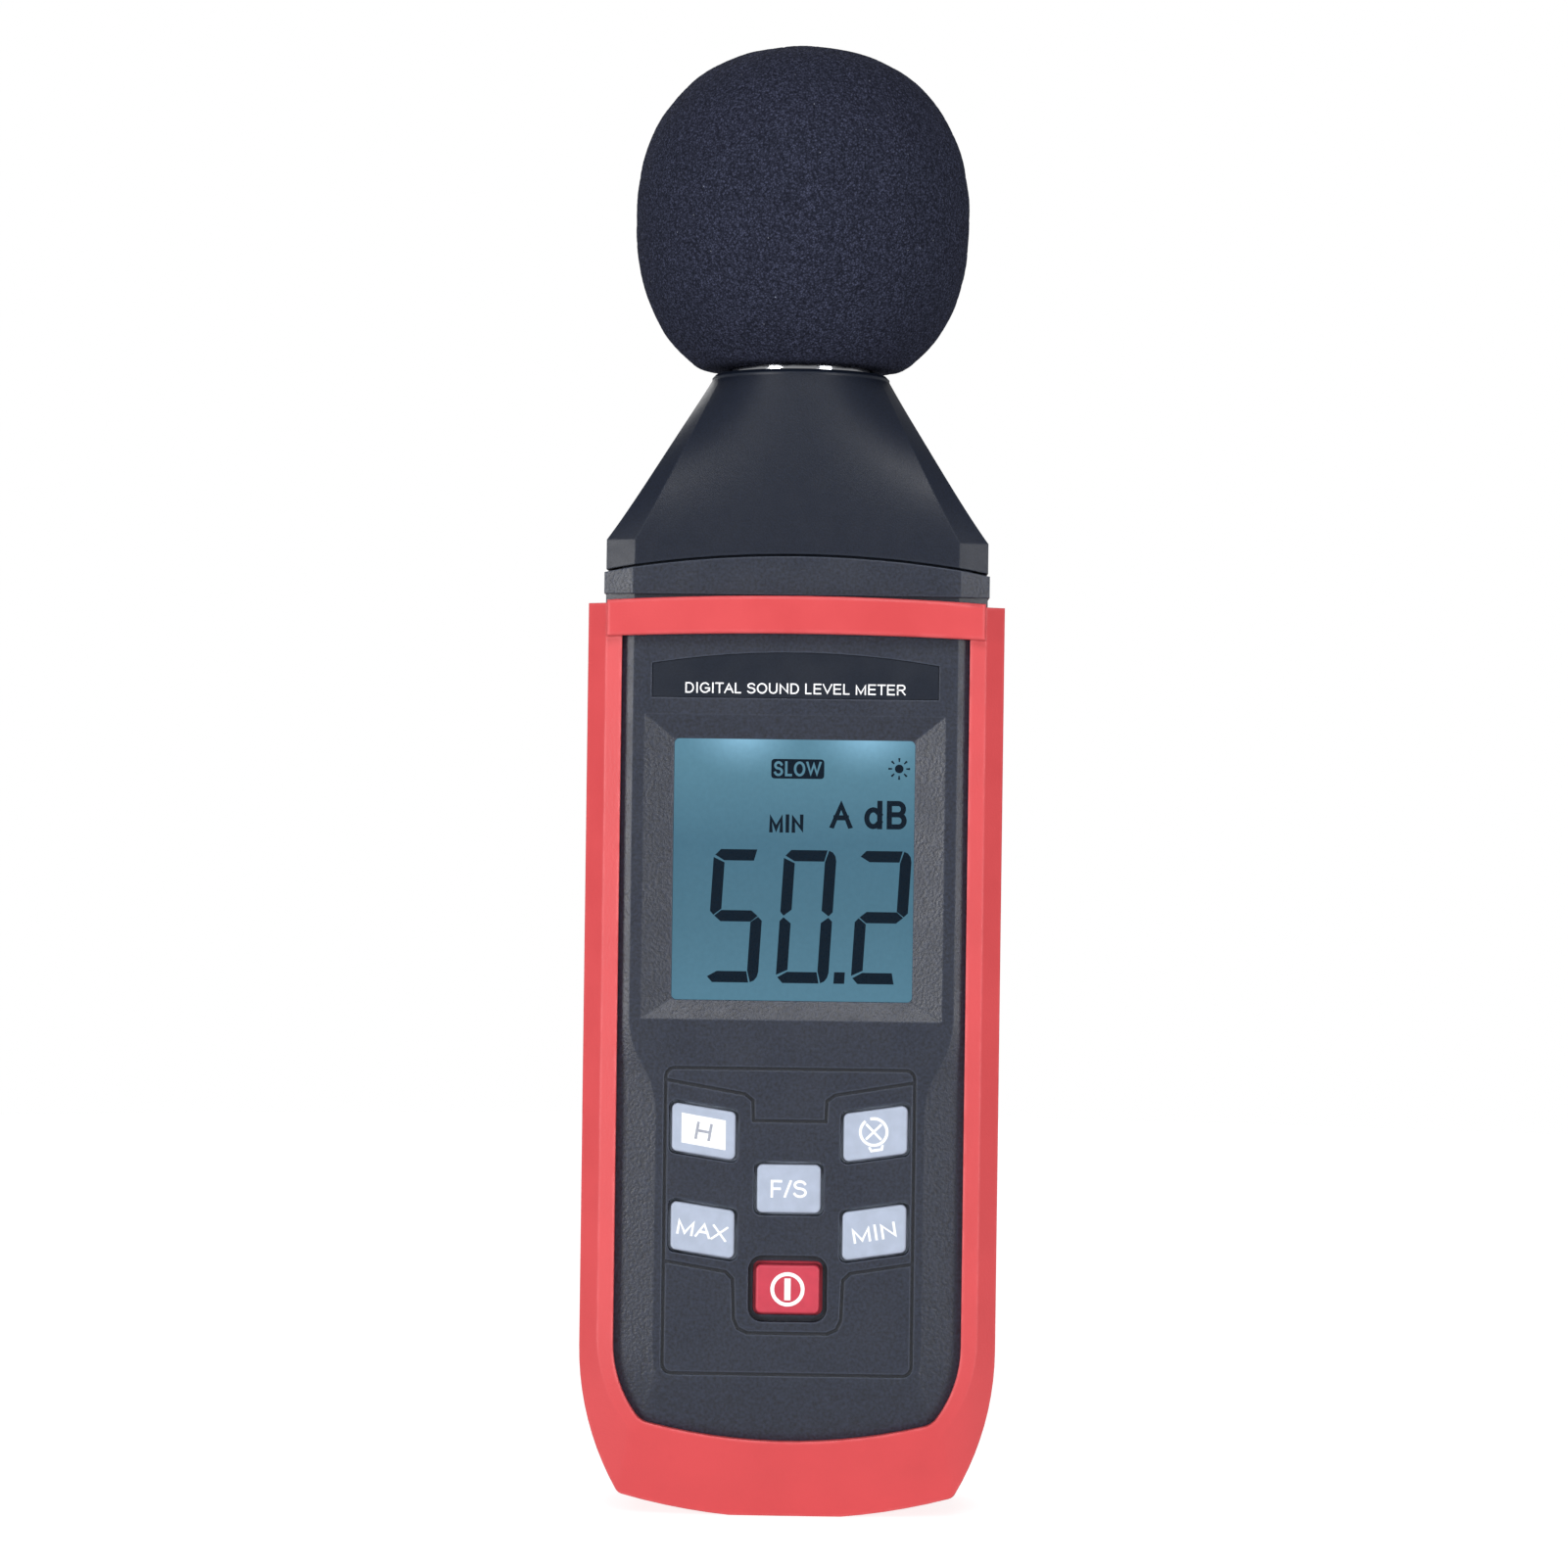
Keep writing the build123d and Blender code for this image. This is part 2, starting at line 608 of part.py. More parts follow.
def front_case():
    """Front shell: display frame, key openings, grooves, and bosses for the board and case screws."""
    outer = case_outer()
    shell = outer - case_cavity()
    shell -= block((-40, 40), (PARTING_Y, 40), (-10, HEIGHT))
    bosses = [rod_y(x, z, CASE_BOSS_RADIUS, CASE_FRONT, PARTING_Y) for x, z in CASE_SCREWS]
    bosses += [rod_y(x, z, BOARD_BOSS_RADIUS, CASE_FRONT, BOARD_FRONT) for x, z in BOARD_SCREWS]
    for boss in bosses:
        shell += boss & outer
    half, bottom, top = KEYPAD_POCKET
    shell -= block((-half, half), (CASE_FRONT + WALL, KEYPAD_POCKET_BACK), (bottom, top))
    for x, z in CASE_SCREWS:
        shell -= rod_y(x, z, SCREW_RADIUS + 0.05, CASE_SCREW_END - 1, PARTING_Y + 1)
    for x, z in BOARD_SCREWS:
        shell -= rod_y(x, z, BOARD_SCREW_RADIUS + 0.05, BOARD_SCREW_END - 0.5, BOARD_FRONT + 1)
    for name in KEYS:
        shell -= prism(key_outline(name, KEY_GAP), CASE_FRONT - 1, CASE_FRONT + WALL + 0.1)
    width, height, corner = POWER_RECESS
    power_x, power_z, _ = KEYS["power_key"]
    recess = Pos(power_x, power_z) * RectangleRounded(width, height, corner)
    shell -= prism(recess, CASE_FRONT - 1, POWER_RECESS_FLOOR)
    shell -= prism(title_outline(), CASE_FRONT - 1, CASE_FRONT + TITLE_SUNK + TITLE_DEPTH)
    shell -= display_frame_cut()
    return shell - keypad_grooves()


def battery_bay_walls():
    """The box that holds the cells, standing inside the rear shell."""
    half = BAY_HALF + BAY_WALL
    return block((-half, half), (BAY_FRONT - BAY_WALL, CASE_BACK - 1), (BAY_BOTTOM - BAY_WALL, BAY_TOP + BAY_WALL))


def rear_case():
    """Rear shell: battery bay, insert boss, screw bosses and the label's shallow recess."""
    outer = case_outer()
    shell = outer - case_cavity()
    shell -= block((-40, 40), (-40, PARTING_Y), (-10, HEIGHT))
    shell += battery_bay_walls()
    shell += rod_y(0, INSERT_Z, INSERT_BOSS_RADIUS, INSERT_BOSS_FRONT, CASE_BACK - 1)
    for x, z in CASE_SCREWS:
        shell += rod_y(x, z, CASE_BOSS_RADIUS, PARTING_Y, CASE_BACK) & outer
    for x, z in NOSE_SCREWS:
        shell += rod_y(x, z, CASE_BOSS_RADIUS, LUG_BACK + 0.1, CASE_BACK - 1)
    for x, z in CASE_SCREWS + NOSE_SCREWS:
        shell -= rod_y(x, z, SCREW_RADIUS + SCREW_CLEARANCE, PARTING_Y - 1, CASE_BACK)
        shell -= rod_y(x, z, SCREW_HEAD_RADIUS + SCREW_CLEARANCE, SCREW_SEAT, CASE_BACK + 1)
    shell -= rod_y(0, INSERT_Z, INSERT_RADIUS + 0.02, INSERT_FRONT, CASE_BACK + 1)
    shell -= block((-BAY_HALF, BAY_HALF), (BAY_FRONT, CASE_BACK), (BAY_BOTTOM, BAY_TOP))
    door_seat = panel_rectangle(DOOR_HALF + DOOR_GAP, DOOR_BOTTOM - DOOR_GAP, DOOR_TOP + DOOR_GAP, DOOR_CORNER)
    shell -= prism(door_seat, DOOR_FRONT - 0.1, CASE_BACK + 1)
    label = panel_rectangle(LABEL_HALF + 0.1, LABEL_BOTTOM - 0.1, LABEL_TOP + 0.1, LABEL_CORNER)
    shell -= prism(label, CASE_BACK - LABEL_THICKNESS - LABEL_SUNK, CASE_BACK + 1)
    for x, z_range in ((-CELL_PITCH, (BAY_TOP - 1, BAY_TOP + 2)), (CELL_PITCH, (BAY_BOTTOM - 2, BAY_BOTTOM + 1))):
        shell -= contact_tab(x, z_range, 0.05)
    return shell


def case_screws():
    """Four screws that close the case from the back."""
    return screw_group(
        CASE_SCREWS, SCREW_SEAT, CASE_SCREW_END, SCREW_RADIUS, SCREW_HEAD_RADIUS, SCREW_HEAD_HEIGHT
    )


# ------------------------------------------------------------------ head
def head_corners(inset):
    """Corners of the case's plan section at the shoulder, drawn in by a wall thickness."""
    half = CASE_HALF - inset
    panel = PANEL_HALF - inset
    rear = BACK_HALF - inset
    side_front = CASE_SIDE_FRONT + inset / 2
    return [
        (half, side_front), (half, CASE_SIDE_BACK),
        (rear, CASE_BACK - inset), (-rear, CASE_BACK - inset),
        (-half, CASE_SIDE_BACK), (-half, side_front),
        (-panel, CASE_FRONT + inset), (panel, CASE_FRONT + inset),
    ]


def section_ring(outer_inset, inner_inset, z_bottom, z_top):
    """An upright ring that follows the plan section between two insets."""
    ring = Polygon(*head_corners(outer_inset), align=None) - Polygon(*head_corners(inner_inset), align=None)
    return extrude(Plane.XY.offset(z_bottom) * ring, amount=z_top - z_bottom)


def head_level(inset, rim_radius, share):
    """The head's plan section part of the way from the eight-cornered shoulder (0) to the round rim (1)."""
    front, side = HEAD_FRONT_ANGLE, HEAD_SIDE_ANGLE
    bearings = [side - 90, 90 - side, 90 - front, 90 + front, 90 + side, 270 - side, 270 - front, 270 + front]
    corners = head_corners(inset)

    def between(start, bearing):
        angle = math.radians(bearing)
        across = start[0] + (rim_radius * math.cos(angle) - start[0]) * share**HEAD_WAIST
        along = start[1] + (rim_radius * math.sin(angle) - start[1]) * share**HEAD_SWEEP
        return (across, along)

    edges = []
    for index, bearing in enumerate(bearings):
        turned = (index + 1) % len(bearings)
        next_bearing = bearings[turned] + (360 if turned == 0 else 0)
        centre = tuple((a + b) / 2 for a, b in zip(corners[index], corners[turned]))
        start, end = between(corners[index], bearing), between(corners[turned], next_bearing)
        middle = between(centre, (bearing + next_bearing) / 2)
        edges.append(ThreePointArc(start, middle, end) if share else Line(start, end))
    return make_face(edges)


def head_form(inset, rim_radius, rim_z):
    """The head's taper from the shoulder to the round rim."""
    levels = []
    for index in range(HEAD_LEVELS):
        share = index / (HEAD_LEVELS - 1)
        levels.append(Plane.XY.offset(SHOULDER + (rim_z - SHOULDER) * share) * head_level(inset, rim_radius, share))
    return loft(levels)


def nose_cone():
    """Tapered head: a thin shell with a spigot into the case and two lugs for its screws."""
    skirt = envelope(0, CASE_FRONT, CASE_BACK, SHOULDER) - below_seam(SEAM_GAP)
    rim = rod_z(0, 0, HEAD_RIM_RADIUS, HEAD_TOP - HEAD_RIM_EDGE, HEAD_TOP)
    rim = chamfer(rim.edges().sort_by(Axis.Z)[-1], HEAD_RIM_EDGE * 0.6)
    shell = skirt + head_form(0, HEAD_RIM_RADIUS, HEAD_TOP - HEAD_RIM_EDGE) + rim
    shell -= envelope(-WALL, CASE_FRONT + WALL, CASE_BACK - WALL, SHOULDER)
    shell -= head_form(WALL, HEAD_RIM_RADIUS - WALL, BUSH_BOTTOM)
    inset = WALL + SPIGOT_FIT
    spigot = section_ring(inset, inset + SPIGOT_WALL, SPIGOT_BOTTOM, SHOULDER)
    tie = section_ring(WALL / 2, inset + SPIGOT_WALL, SEAM_CENTRE + SEAM_GAP, SHOULDER)
    shell += spigot + tie
    for x, z in NOSE_SCREWS:
        shell += block((x - LUG_HALF, x + LUG_HALF), (LUG_FRONT, LUG_BACK), (LUG_BOTTOM, LUG_TOP))
        shell += block((x - LUG_HALF, x + LUG_HALF), (LUG_FRONT, CASE_BACK - WALL / 2), (SEAM_CENTRE + 1, LUG_TOP))
        shell -= rod_y(x, z, SCREW_RADIUS + 0.05, LUG_FRONT - 1, LUG_BACK + 1)
    for x, z in CASE_SCREWS:
        shell -= rod_y(x, z, CASE_BOSS_RADIUS + 0.2, -20, 20) & block((-40, 40), (-40, 40), (0, SPIGOT_BOTTOM + 1))
    return shell - rod_z(0, 0, BUSH_RADIUS, BUSH_BOTTOM - 4, HEAD_TOP + 1)


def nose_screws():
    """Two screws that hold the head's lugs."""
    return screw_group(NOSE_SCREWS, SCREW_SEAT, LUG_FRONT, SCREW_RADIUS, SCREW_HEAD_RADIUS, SCREW_HEAD_HEIGHT)


def mic_bush():
    """Rubber bush that grips the microphone tube in the head."""
    return ring_z(BUSH_RADIUS - 0.02, TUBE_RADIUS + 0.02, BUSH_BOTTOM, HEAD_TOP)


def mic_collar():
    """Bright ring on top of the head."""
    ring = rod_z(0, 0, RING_RADIUS, HEAD_TOP, RING_TOP)
    ring = chamfer(ring.edges().sort_by(Axis.Z)[-1], RING_EDGE)
    return ring - rod_z(0, 0, TUBE_RADIUS + 0.02, HEAD_TOP - 1, RING_TOP + 1)


def mic_tube():
    """Half-inch microphone tube."""
    return ring_z(TUBE_RADIUS, TUBE_BORE, TUBE_BOTTOM, TUBE_TOP)


def mic_capsule():
    """Electret capsule with a sunk face."""
    body = rod_z(0, 0, CAPSULE_RADIUS, CAPSULE_BOTTOM, CAPSULE_TOP)
    return body - rod_z(0, 0, CAPSULE_RADIUS - 0.8, CAPSULE_TOP - 0.4, CAPSULE_TOP + 1)


def mic_insulator():
    """Washer between the capsule and the cable."""
    return ring_z(CAPSULE_RADIUS, INSULATOR_BORE, INSULATOR_BOTTOM, CAPSULE_BOTTOM)


def mic_grid():
    """Slotted protection cap over the capsule."""
    cap = rod_z(0, 0, TUBE_RADIUS, TUBE_TOP, GRID_TOP)
    cap = fillet(cap.edges().sort_by(Axis.Z)[-1], 0.8)
    cap -= rod_z(0, 0, TUBE_RADIUS - GRID_WALL, TUBE_TOP - 1, GRID_TOP - GRID_WALL)
    for index in range(GRID_SLOTS):
        offset = (index - (GRID_SLOTS - 1) / 2) * GRID_SLOT_PITCH
        reach = math.sqrt((TUBE_RADIUS - 2 * GRID_WALL) ** 2 - offset**2)
        half = GRID_SLOT / 2
        cap -= block((offset - half, offset + half), (-reach, reach), (GRID_TOP - 2 * GRID_WALL, GRID_TOP + 1))
    return cap


def foam_profile_point(share, lower_half):
    """A point on the rounded-square profile, share running from the waist (0) to the pole (1)."""
    angle = share * math.pi / 2
    reach = FOAM_RADIUS * math.cos(angle) ** (2 / FOAM_POWER)
    rise = math.sin(angle) ** (2 / FOAM_POWER)
    if lower_half:
        return (reach, FOAM_CENTRE - FOAM_LOWER * rise)
    return (reach, FOAM_CENTRE + (HEIGHT - FOAM_CENTRE) * rise)


def windscreen():
    """Foam ball: a rounded-square profile turned about the axis, with a blind bore for the microphone."""
    shares = [index / (FOAM_POINTS - 1) for index in range(FOAM_POINTS)]
    upper = [foam_profile_point(share, False) for share in shares]
    lower = [foam_profile_point(share * 0.94, True) for share in shares]
    upper[-1] = (0, HEIGHT)
    side = Spline(*reversed(lower), *upper[1:], tangents=[(0.8, 1), (-1, 0)])
    start = lower[-1]
    profile = make_face([side, Line((0, HEIGHT), (0, start[1])), Line((0, start[1]), start)])
    ball = revolve(Plane.XZ * profile, Axis.Z)
    ball &= block((-40, 40), (-40, 40), (FOAM_BOTTOM, HEIGHT + 1))
    ball -= rod_z(0, 0, FOAM_POCKET, FOAM_BOTTOM - 1, FOAM_POCKET_TOP)
    return ball - rod_z(0, 0, FOAM_BORE, FOAM_BOTTOM - 1, FOAM_BORE_TOP)


# ------------------------------------------------------------------ front details
def title_plate():
    """Arched inlay."""
    return prism(title_outline(-0.08), CASE_FRONT + TITLE_SUNK, CASE_FRONT + TITLE_SUNK + TITLE_DEPTH)


def key(name):
    """A key cap with its flange and the stem that reaches for the mat."""
    x, z, _ = KEYS[name]
    cap = prism(key_outline(name), KEY_FRONT, KEY_FLANGE_FRONT)
    cap = fillet(cap.faces().sort_by(Axis.Y)[0].edges(), KEY_EDGE)
    cap += prism(key_outline(name, KEY_FLANGE), KEY_FLANGE_FRONT, KEY_FLANGE_BACK)
    return cap + rod_y(x, z, KEY_STEM_RADIUS, KEY_FLANGE_BACK, KEY_STEM_BACK)


def keypad_mat():
    """Silicone mat on the board with a pocket behind each key."""
    mat = block((-MAT_HALF, MAT_HALF), (MAT_FRONT, BOARD_FRONT), (MAT_BOTTOM, MAT_TOP))
    for x, z, _ in KEYS.values():
        mat -= rod_y(x, z, PILL_POCKET_RADIUS, PILL_POCKET_FRONT, BOARD_FRONT + 1)
    return mat


def contact_pills():
    """Conductive pills in the mat's pockets."""
    back = PILL_POCKET_FRONT + PILL_THICKNESS
    pills = [rod_y(x, z, PILL_RADIUS, PILL_POCKET_FRONT, back) for x, z, _ in KEYS.values()]
    return Compound(children=pills)


def display_window():
    """Clear window behind the frame."""
    return block((-LENS_HALF, LENS_HALF), (LENS_FRONT, LENS_BACK), (LENS_BOTTOM, LENS_TOP))


def lcd_glass():
    """Display cell."""
    return block((-GLASS_HALF, GLASS_HALF), (GLASS_FRONT, GLASS_BACK), (GLASS_BOTTOM, GLASS_TOP))


def backlight_guide():
    """Light guide behind the display."""
    return block((-GUIDE_HALF, GUIDE_HALF), (GLASS_BACK, GUIDE_BACK), (GUIDE_BOTTOM, GUIDE_TOP))


def backlight_leds():
    """Two lamps on the board above the light guide."""
    width, depth, height = LED_SIZE
    lamps = []
    for x in LED_X:
        z = GUIDE_TOP + 0.1
        lamps.append(block((x - width / 2, x + width / 2), (BOARD_FRONT - depth, BOARD_FRONT), (z, z + height)))
    return Compound(children=lamps)


def zebra_strip():
    """Elastomer strip that joins the display to the board."""
    return block((-ZEBRA_HALF, ZEBRA_HALF), (GLASS_BACK, BOARD_FRONT), (ZEBRA_BOTTOM, ZEBRA_TOP))


def lcd_frame():
    """Frame that holds the display stack on the board."""
    outer = block(
        (-LCD_FRAME_HALF, LCD_FRAME_HALF), (GLASS_FRONT, BOARD_FRONT), (LCD_FRAME_BOTTOM, LCD_FRAME_TOP)
    )
    half = GLASS_HALF + LCD_FRAME_FIT
    bottom = GLASS_BOTTOM - LCD_FRAME_FIT
    top = GLASS_TOP + LCD_FRAME_FIT
    return outer - block((-half, half), (GLASS_FRONT - 1, BOARD_FRONT + 1), (bottom, top))


# ------------------------------------------------------------------ board
def main_board():
    """Circuit board with notches round the case screws' bosses."""
    board = prism(panel_rectangle(BOARD_HALF, BOARD_BOTTOM, BOARD_TOP, BOARD_CORNER), BOARD_FRONT, BOARD_BACK)
    for x, z in CASE_SCREWS:
        board -= rod_y(x, z, CASE_BOSS_RADIUS + 0.4, BOARD_FRONT - 1, BOARD_BACK + 1)
    for x, z in BOARD_SCREWS:
        board -= rod_y(x, z, BOARD_SCREW_RADIUS + 0.2, BOARD_FRONT - 1, BOARD_BACK + 1)
    return board


def board_screws():
    """Four small screws that hold the board."""
    radius, height = BOARD_SCREW_HEAD
    screws = []
    for x, z in BOARD_SCREWS:
        head = rod_y(x, z, radius, BOARD_BACK, BOARD_BACK + height)
        slot = block((x - 2, x + 2), (BOARD_BACK + height / 2, BOARD_BACK + height + 1), (z - 0.25, z + 0.25))
        screws.append(head + rod_y(x, z, BOARD_SCREW_RADIUS, BOARD_SCREW_END, BOARD_BACK) - slot)
    return Compound(children=screws)


def packaged_chip(x, z, width, height, thickness):
    """A chip body with a row of legs on both sides."""
    body_front = BOARD_BACK + 0.1
    body = block((x - width / 2, x + width / 2), (body_front, BOARD_BACK + thickness), (z - height / 2, z + height / 2))
    body = chamfer(body.edges().filter_by(Axis.Z).sort_by(Axis.Y)[-2:], 0.2)
    count = int((height - 1.0) / PIN_PITCH) + 1
    for index in range(count):
        pin_z = z + (index - (count - 1) / 2) * PIN_PITCH
        reach = width / 2 + 0.9
        y_range = (BOARD_BACK, BOARD_BACK + 0.25)
        body += block((x - reach, x + reach), y_range, (pin_z - PIN_SIZE / 2, pin_z + PIN_SIZE / 2))
    return body


def mcu_chip():
    """The measuring and display controller."""
    return packaged_chip(*MCU)


def board_chips():
    """Amplifier, filter and regulator chips."""
    return Compound(children=[packaged_chip(*chip) for chip in CHIPS])


def board_capacitors():
    """Can capacitors standing on the board."""
    cans = []
    for x, z in CAPACITORS:
        can = rod_y(x, z, CAPACITOR_RADIUS, BOARD_BACK, BOARD_BACK + CAPACITOR_HEIGHT)
        cans.append(fillet(can.edges().filter_by(GeomType.CIRCLE).sort_by(Axis.Y)[-1], 0.3))
    return Compound(children=cans)


def board_resistors():
    """Chip resistors in two columns."""
    width, depth, height = RESISTOR_SIZE
    chips = []
    for x in RESISTOR_COLUMNS:
        for z in RESISTOR_ROWS:
            x_range = (x - width / 2, x + width / 2)
            chips.append(block(x_range, (BOARD_BACK, BOARD_BACK + depth), (z - height / 2, z + height / 2)))
    return Compound(children=chips)


def crystal():
    """Clock crystal in its can."""
    x, z, width, height, depth = CRYSTAL
    can = prism(Pos(x, z) * RectangleRounded(width, height, width / 2 - 0.05), BOARD_BACK, BOARD_BACK + depth)
    return fillet(can.faces().sort_by(Axis.Y)[-1].edges(), 0.3)


def calibration_trimmer():
    """Body of the level trimmer with a round pocket for its rotor."""
    x, z = TRIMMER
    half = TRIMMER_SIZE / 2
    body = block((x - half, x + half), (BOARD_BACK, TRIMMER_BACK), (z - half, z + half))
    return body - rod_y(x, z, ROTOR_RADIUS + ROTOR_FIT, TRIMMER_POCKET_FRONT, 0)


def trimmer_rotor():
    """Slotted rotor of the trimmer."""
    x, z = TRIMMER
    width, depth = ROTOR_SLOT
    rotor = rod_y(x, z, ROTOR_RADIUS, TRIMMER_POCKET_FRONT + ROTOR_FIT, ROTOR_BACK)
    slot_y = (ROTOR_BACK - depth, ROTOR_BACK + 1)
    return rotor - block((x - 3, x + 3), slot_y, (z - width / 2, z + width / 2))


def wire_headers():
    """Three plugs on the board that the leads enter."""
    width, height = HEADER_SIZE
    plugs = []
    for (x, z), direction in ((POSITIVE_HEADER, 1), (NEGATIVE_HEADER, 1), (SIGNAL_HEADER, -1)):
        z_range = sorted((z, z + direction * height))
        plugs.append(block((x - width / 2, x + width / 2), (BOARD_BACK, HEADER_BACK), z_range))
    return Compound(children=plugs)


# ------------------------------------------------------------------ battery bay
def cell(x, positive_up):
    """An AAA cell with its nub against the far contact."""
    nub_radius, nub_height = CELL_NUB
    direction = 1 if positive_up else -1
    nub_end = BAY_TOP - CONTACT_THICKNESS if positive_up else BAY_BOTTOM + CONTACT_THICKNESS
    shoulder = nub_end - direction * nub_height
    base = nub_end - direction * CELL_LENGTH
    body = rod_z(x, CELL_Y, CELL_RADIUS, *sorted((base, shoulder)))
    body = fillet(body.edges().filter_by(GeomType.CIRCLE), 0.5)
    return body + rod_z(x, CELL_Y, nub_radius, *sorted((shoulder, nub_end)))


def contact_tab(x, z_range, grow=0.0):
    """The strip of a contact that passes through the bay's wall."""
    half = TAB_WIDTH / 2 + grow
    depth = TAB_THICKNESS / 2 + grow
    return block((x - half, x + half), (TAB_Y - depth, TAB_Y + depth), z_range)


def battery_contacts():
    """Plates at both ends of the bay: one per outer terminal and one across each linked pair."""
    half = CONTACT_SIZE / 2
    y_range = (CELL_Y - CELL_RADIUS + 0.5, CELL_Y + half)
    top = (BAY_TOP - CONTACT_THICKNESS, BAY_TOP)
    bottom = (BAY_BOTTOM, BAY_BOTTOM + CONTACT_THICKNESS)
    positive = block((-CELL_PITCH - half, -CELL_PITCH + half), y_range, top)
    positive += contact_tab(-CELL_PITCH, (BAY_TOP - CONTACT_THICKNESS, BAY_TOP + TAB_LENGTH))
    negative = block((CELL_PITCH - half, CELL_PITCH + half), y_range, bottom)
    negative += contact_tab(CELL_PITCH, (BAY_BOTTOM - TAB_LENGTH, BAY_BOTTOM + CONTACT_THICKNESS))
    lower_link = block((-CELL_PITCH - half, half), y_range, bottom)
    upper_link = block((-half, CELL_PITCH + half), y_range, top)
    return Compound(children=[positive, negative, lower_link, upper_link])


def battery_springs():
    """Coil springs that press on the cells' flat ends."""
    gap = BAY_TOP - BAY_BOTTOM - 2 * CONTACT_THICKNESS - CELL_LENGTH
    height = gap - 2 * SPRING_WIRE
    starts = [
        (-CELL_PITCH, BAY_BOTTOM + CONTACT_THICKNESS),
        (0.0, BAY_TOP - CONTACT_THICKNESS - gap),
        (CELL_PITCH, BAY_BOTTOM + CONTACT_THICKNESS),
    ]
    springs = []
    for x, z in starts:
        path = Pos(x, CELL_Y, z + SPRING_WIRE) * Helix(height / SPRING_TURNS, height, SPRING_RADIUS)
        springs.append(sweep(Plane(origin=path @ 0, z_dir=path % 0) * Circle(SPRING_WIRE), path=path))
    return Compound(children=springs)


def battery_door():
    """Lift-off door with a ribbed thumb grip."""
    outline = panel_rectangle(DOOR_HALF, DOOR_BOTTOM, DOOR_TOP, DOOR_CORNER)
    door = prism(outline, DOOR_FRONT, CASE_BACK)
    height, depth = GRIP_GROOVE
    for index in range(GRIP_RIBS):
        z = GRIP_TOP - index * GRIP_PITCH
        inset = GRIP_HALF - index * 1.2
        door -= block((-inset, inset), (CASE_BACK - depth, CASE_BACK + 1), (z - height, z))
    return door


# ------------------------------------------------------------------ back
def tripod_insert():
    """Brass insert with a blind 1/4-20 thread."""
    insert = rod_y(0, INSERT_Z, INSERT_RADIUS, INSERT_FRONT, CASE_BACK)
    return insert - rod_y(0, INSERT_Z, THREAD_RADIUS, THREAD_FRONT, CASE_BACK + 1)


def rating_label():
    """Blank label in its recess."""
    outline = panel_rectangle(LABEL_HALF, LABEL_BOTTOM, LABEL_TOP, LABEL_CORNER)
    return prism(outline, CASE_BACK - LABEL_THICKNESS - LABEL_SUNK, CASE_BACK - LABEL_SUNK)


# ------------------------------------------------------------------ assembly
def build():
    """Every piece by its node name."""
    plain = [
        boot, front_case, rear_case, case_screws, nose_cone, nose_screws, mic_bush, mic_collar, mic_tube,
        mic_capsule, mic_insulator, mic_grid, windscreen, title_plate, keypad_mat, contact_pills,
        display_window, lcd_glass, lcd_frame, backlight_guide, backlight_leds, zebra_strip, main_board,
        board_screws, mcu_chip, board_chips, board_capacitors, board_resistors, crystal,
        calibration_trimmer, trimmer_rotor, wire_headers, battery_contacts, battery_springs, battery_door,
        tripod_insert, rating_label,
    ]
    pieces = {function.__name__: function() for function in plain}
    for name in KEYS:
        pieces[name] = key(name)
    for number, (x, positive_up) in enumerate(((-CELL_PITCH, True), (0.0, False), (CELL_PITCH, True)), 1):
        pieces[f"battery_{number}"] = cell(x, positive_up)
    pieces["battery_wire_red"] = lead(POSITIVE_ROUTE, LEAD_RADIUS)
    pieces["battery_wire_black"] = lead(NEGATIVE_ROUTE, LEAD_RADIUS)
    pieces["mic_cable"] = lead(SIGNAL_ROUTE, CABLE_RADIUS)
    return pieces


os.makedirs("parts", exist_ok=True)
for node, shape in build().items():
    export_step(shape, f"parts/{node}.step")
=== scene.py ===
import json
import math

import bmesh
import bpy
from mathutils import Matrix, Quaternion, Vector, noise


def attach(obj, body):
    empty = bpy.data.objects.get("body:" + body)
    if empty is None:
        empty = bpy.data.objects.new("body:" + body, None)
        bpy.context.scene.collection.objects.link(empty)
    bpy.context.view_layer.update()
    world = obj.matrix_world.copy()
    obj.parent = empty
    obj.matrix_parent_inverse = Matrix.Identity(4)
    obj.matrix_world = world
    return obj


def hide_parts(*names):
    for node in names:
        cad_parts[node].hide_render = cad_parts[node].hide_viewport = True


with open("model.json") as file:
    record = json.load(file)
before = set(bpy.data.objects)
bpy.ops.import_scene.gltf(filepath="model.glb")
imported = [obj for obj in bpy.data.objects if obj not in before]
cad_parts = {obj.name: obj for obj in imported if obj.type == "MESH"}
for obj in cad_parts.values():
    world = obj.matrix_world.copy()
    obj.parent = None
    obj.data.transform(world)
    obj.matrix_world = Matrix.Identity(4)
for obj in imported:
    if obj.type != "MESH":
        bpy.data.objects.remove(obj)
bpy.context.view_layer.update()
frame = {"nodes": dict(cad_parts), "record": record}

# Sound level meter: materials for the CAD nodes, the foam ball, the display's figures and printed legends.
# Lengths are in millimetres, in the frame's directions. MM turns them into metres.
MM = 0.001

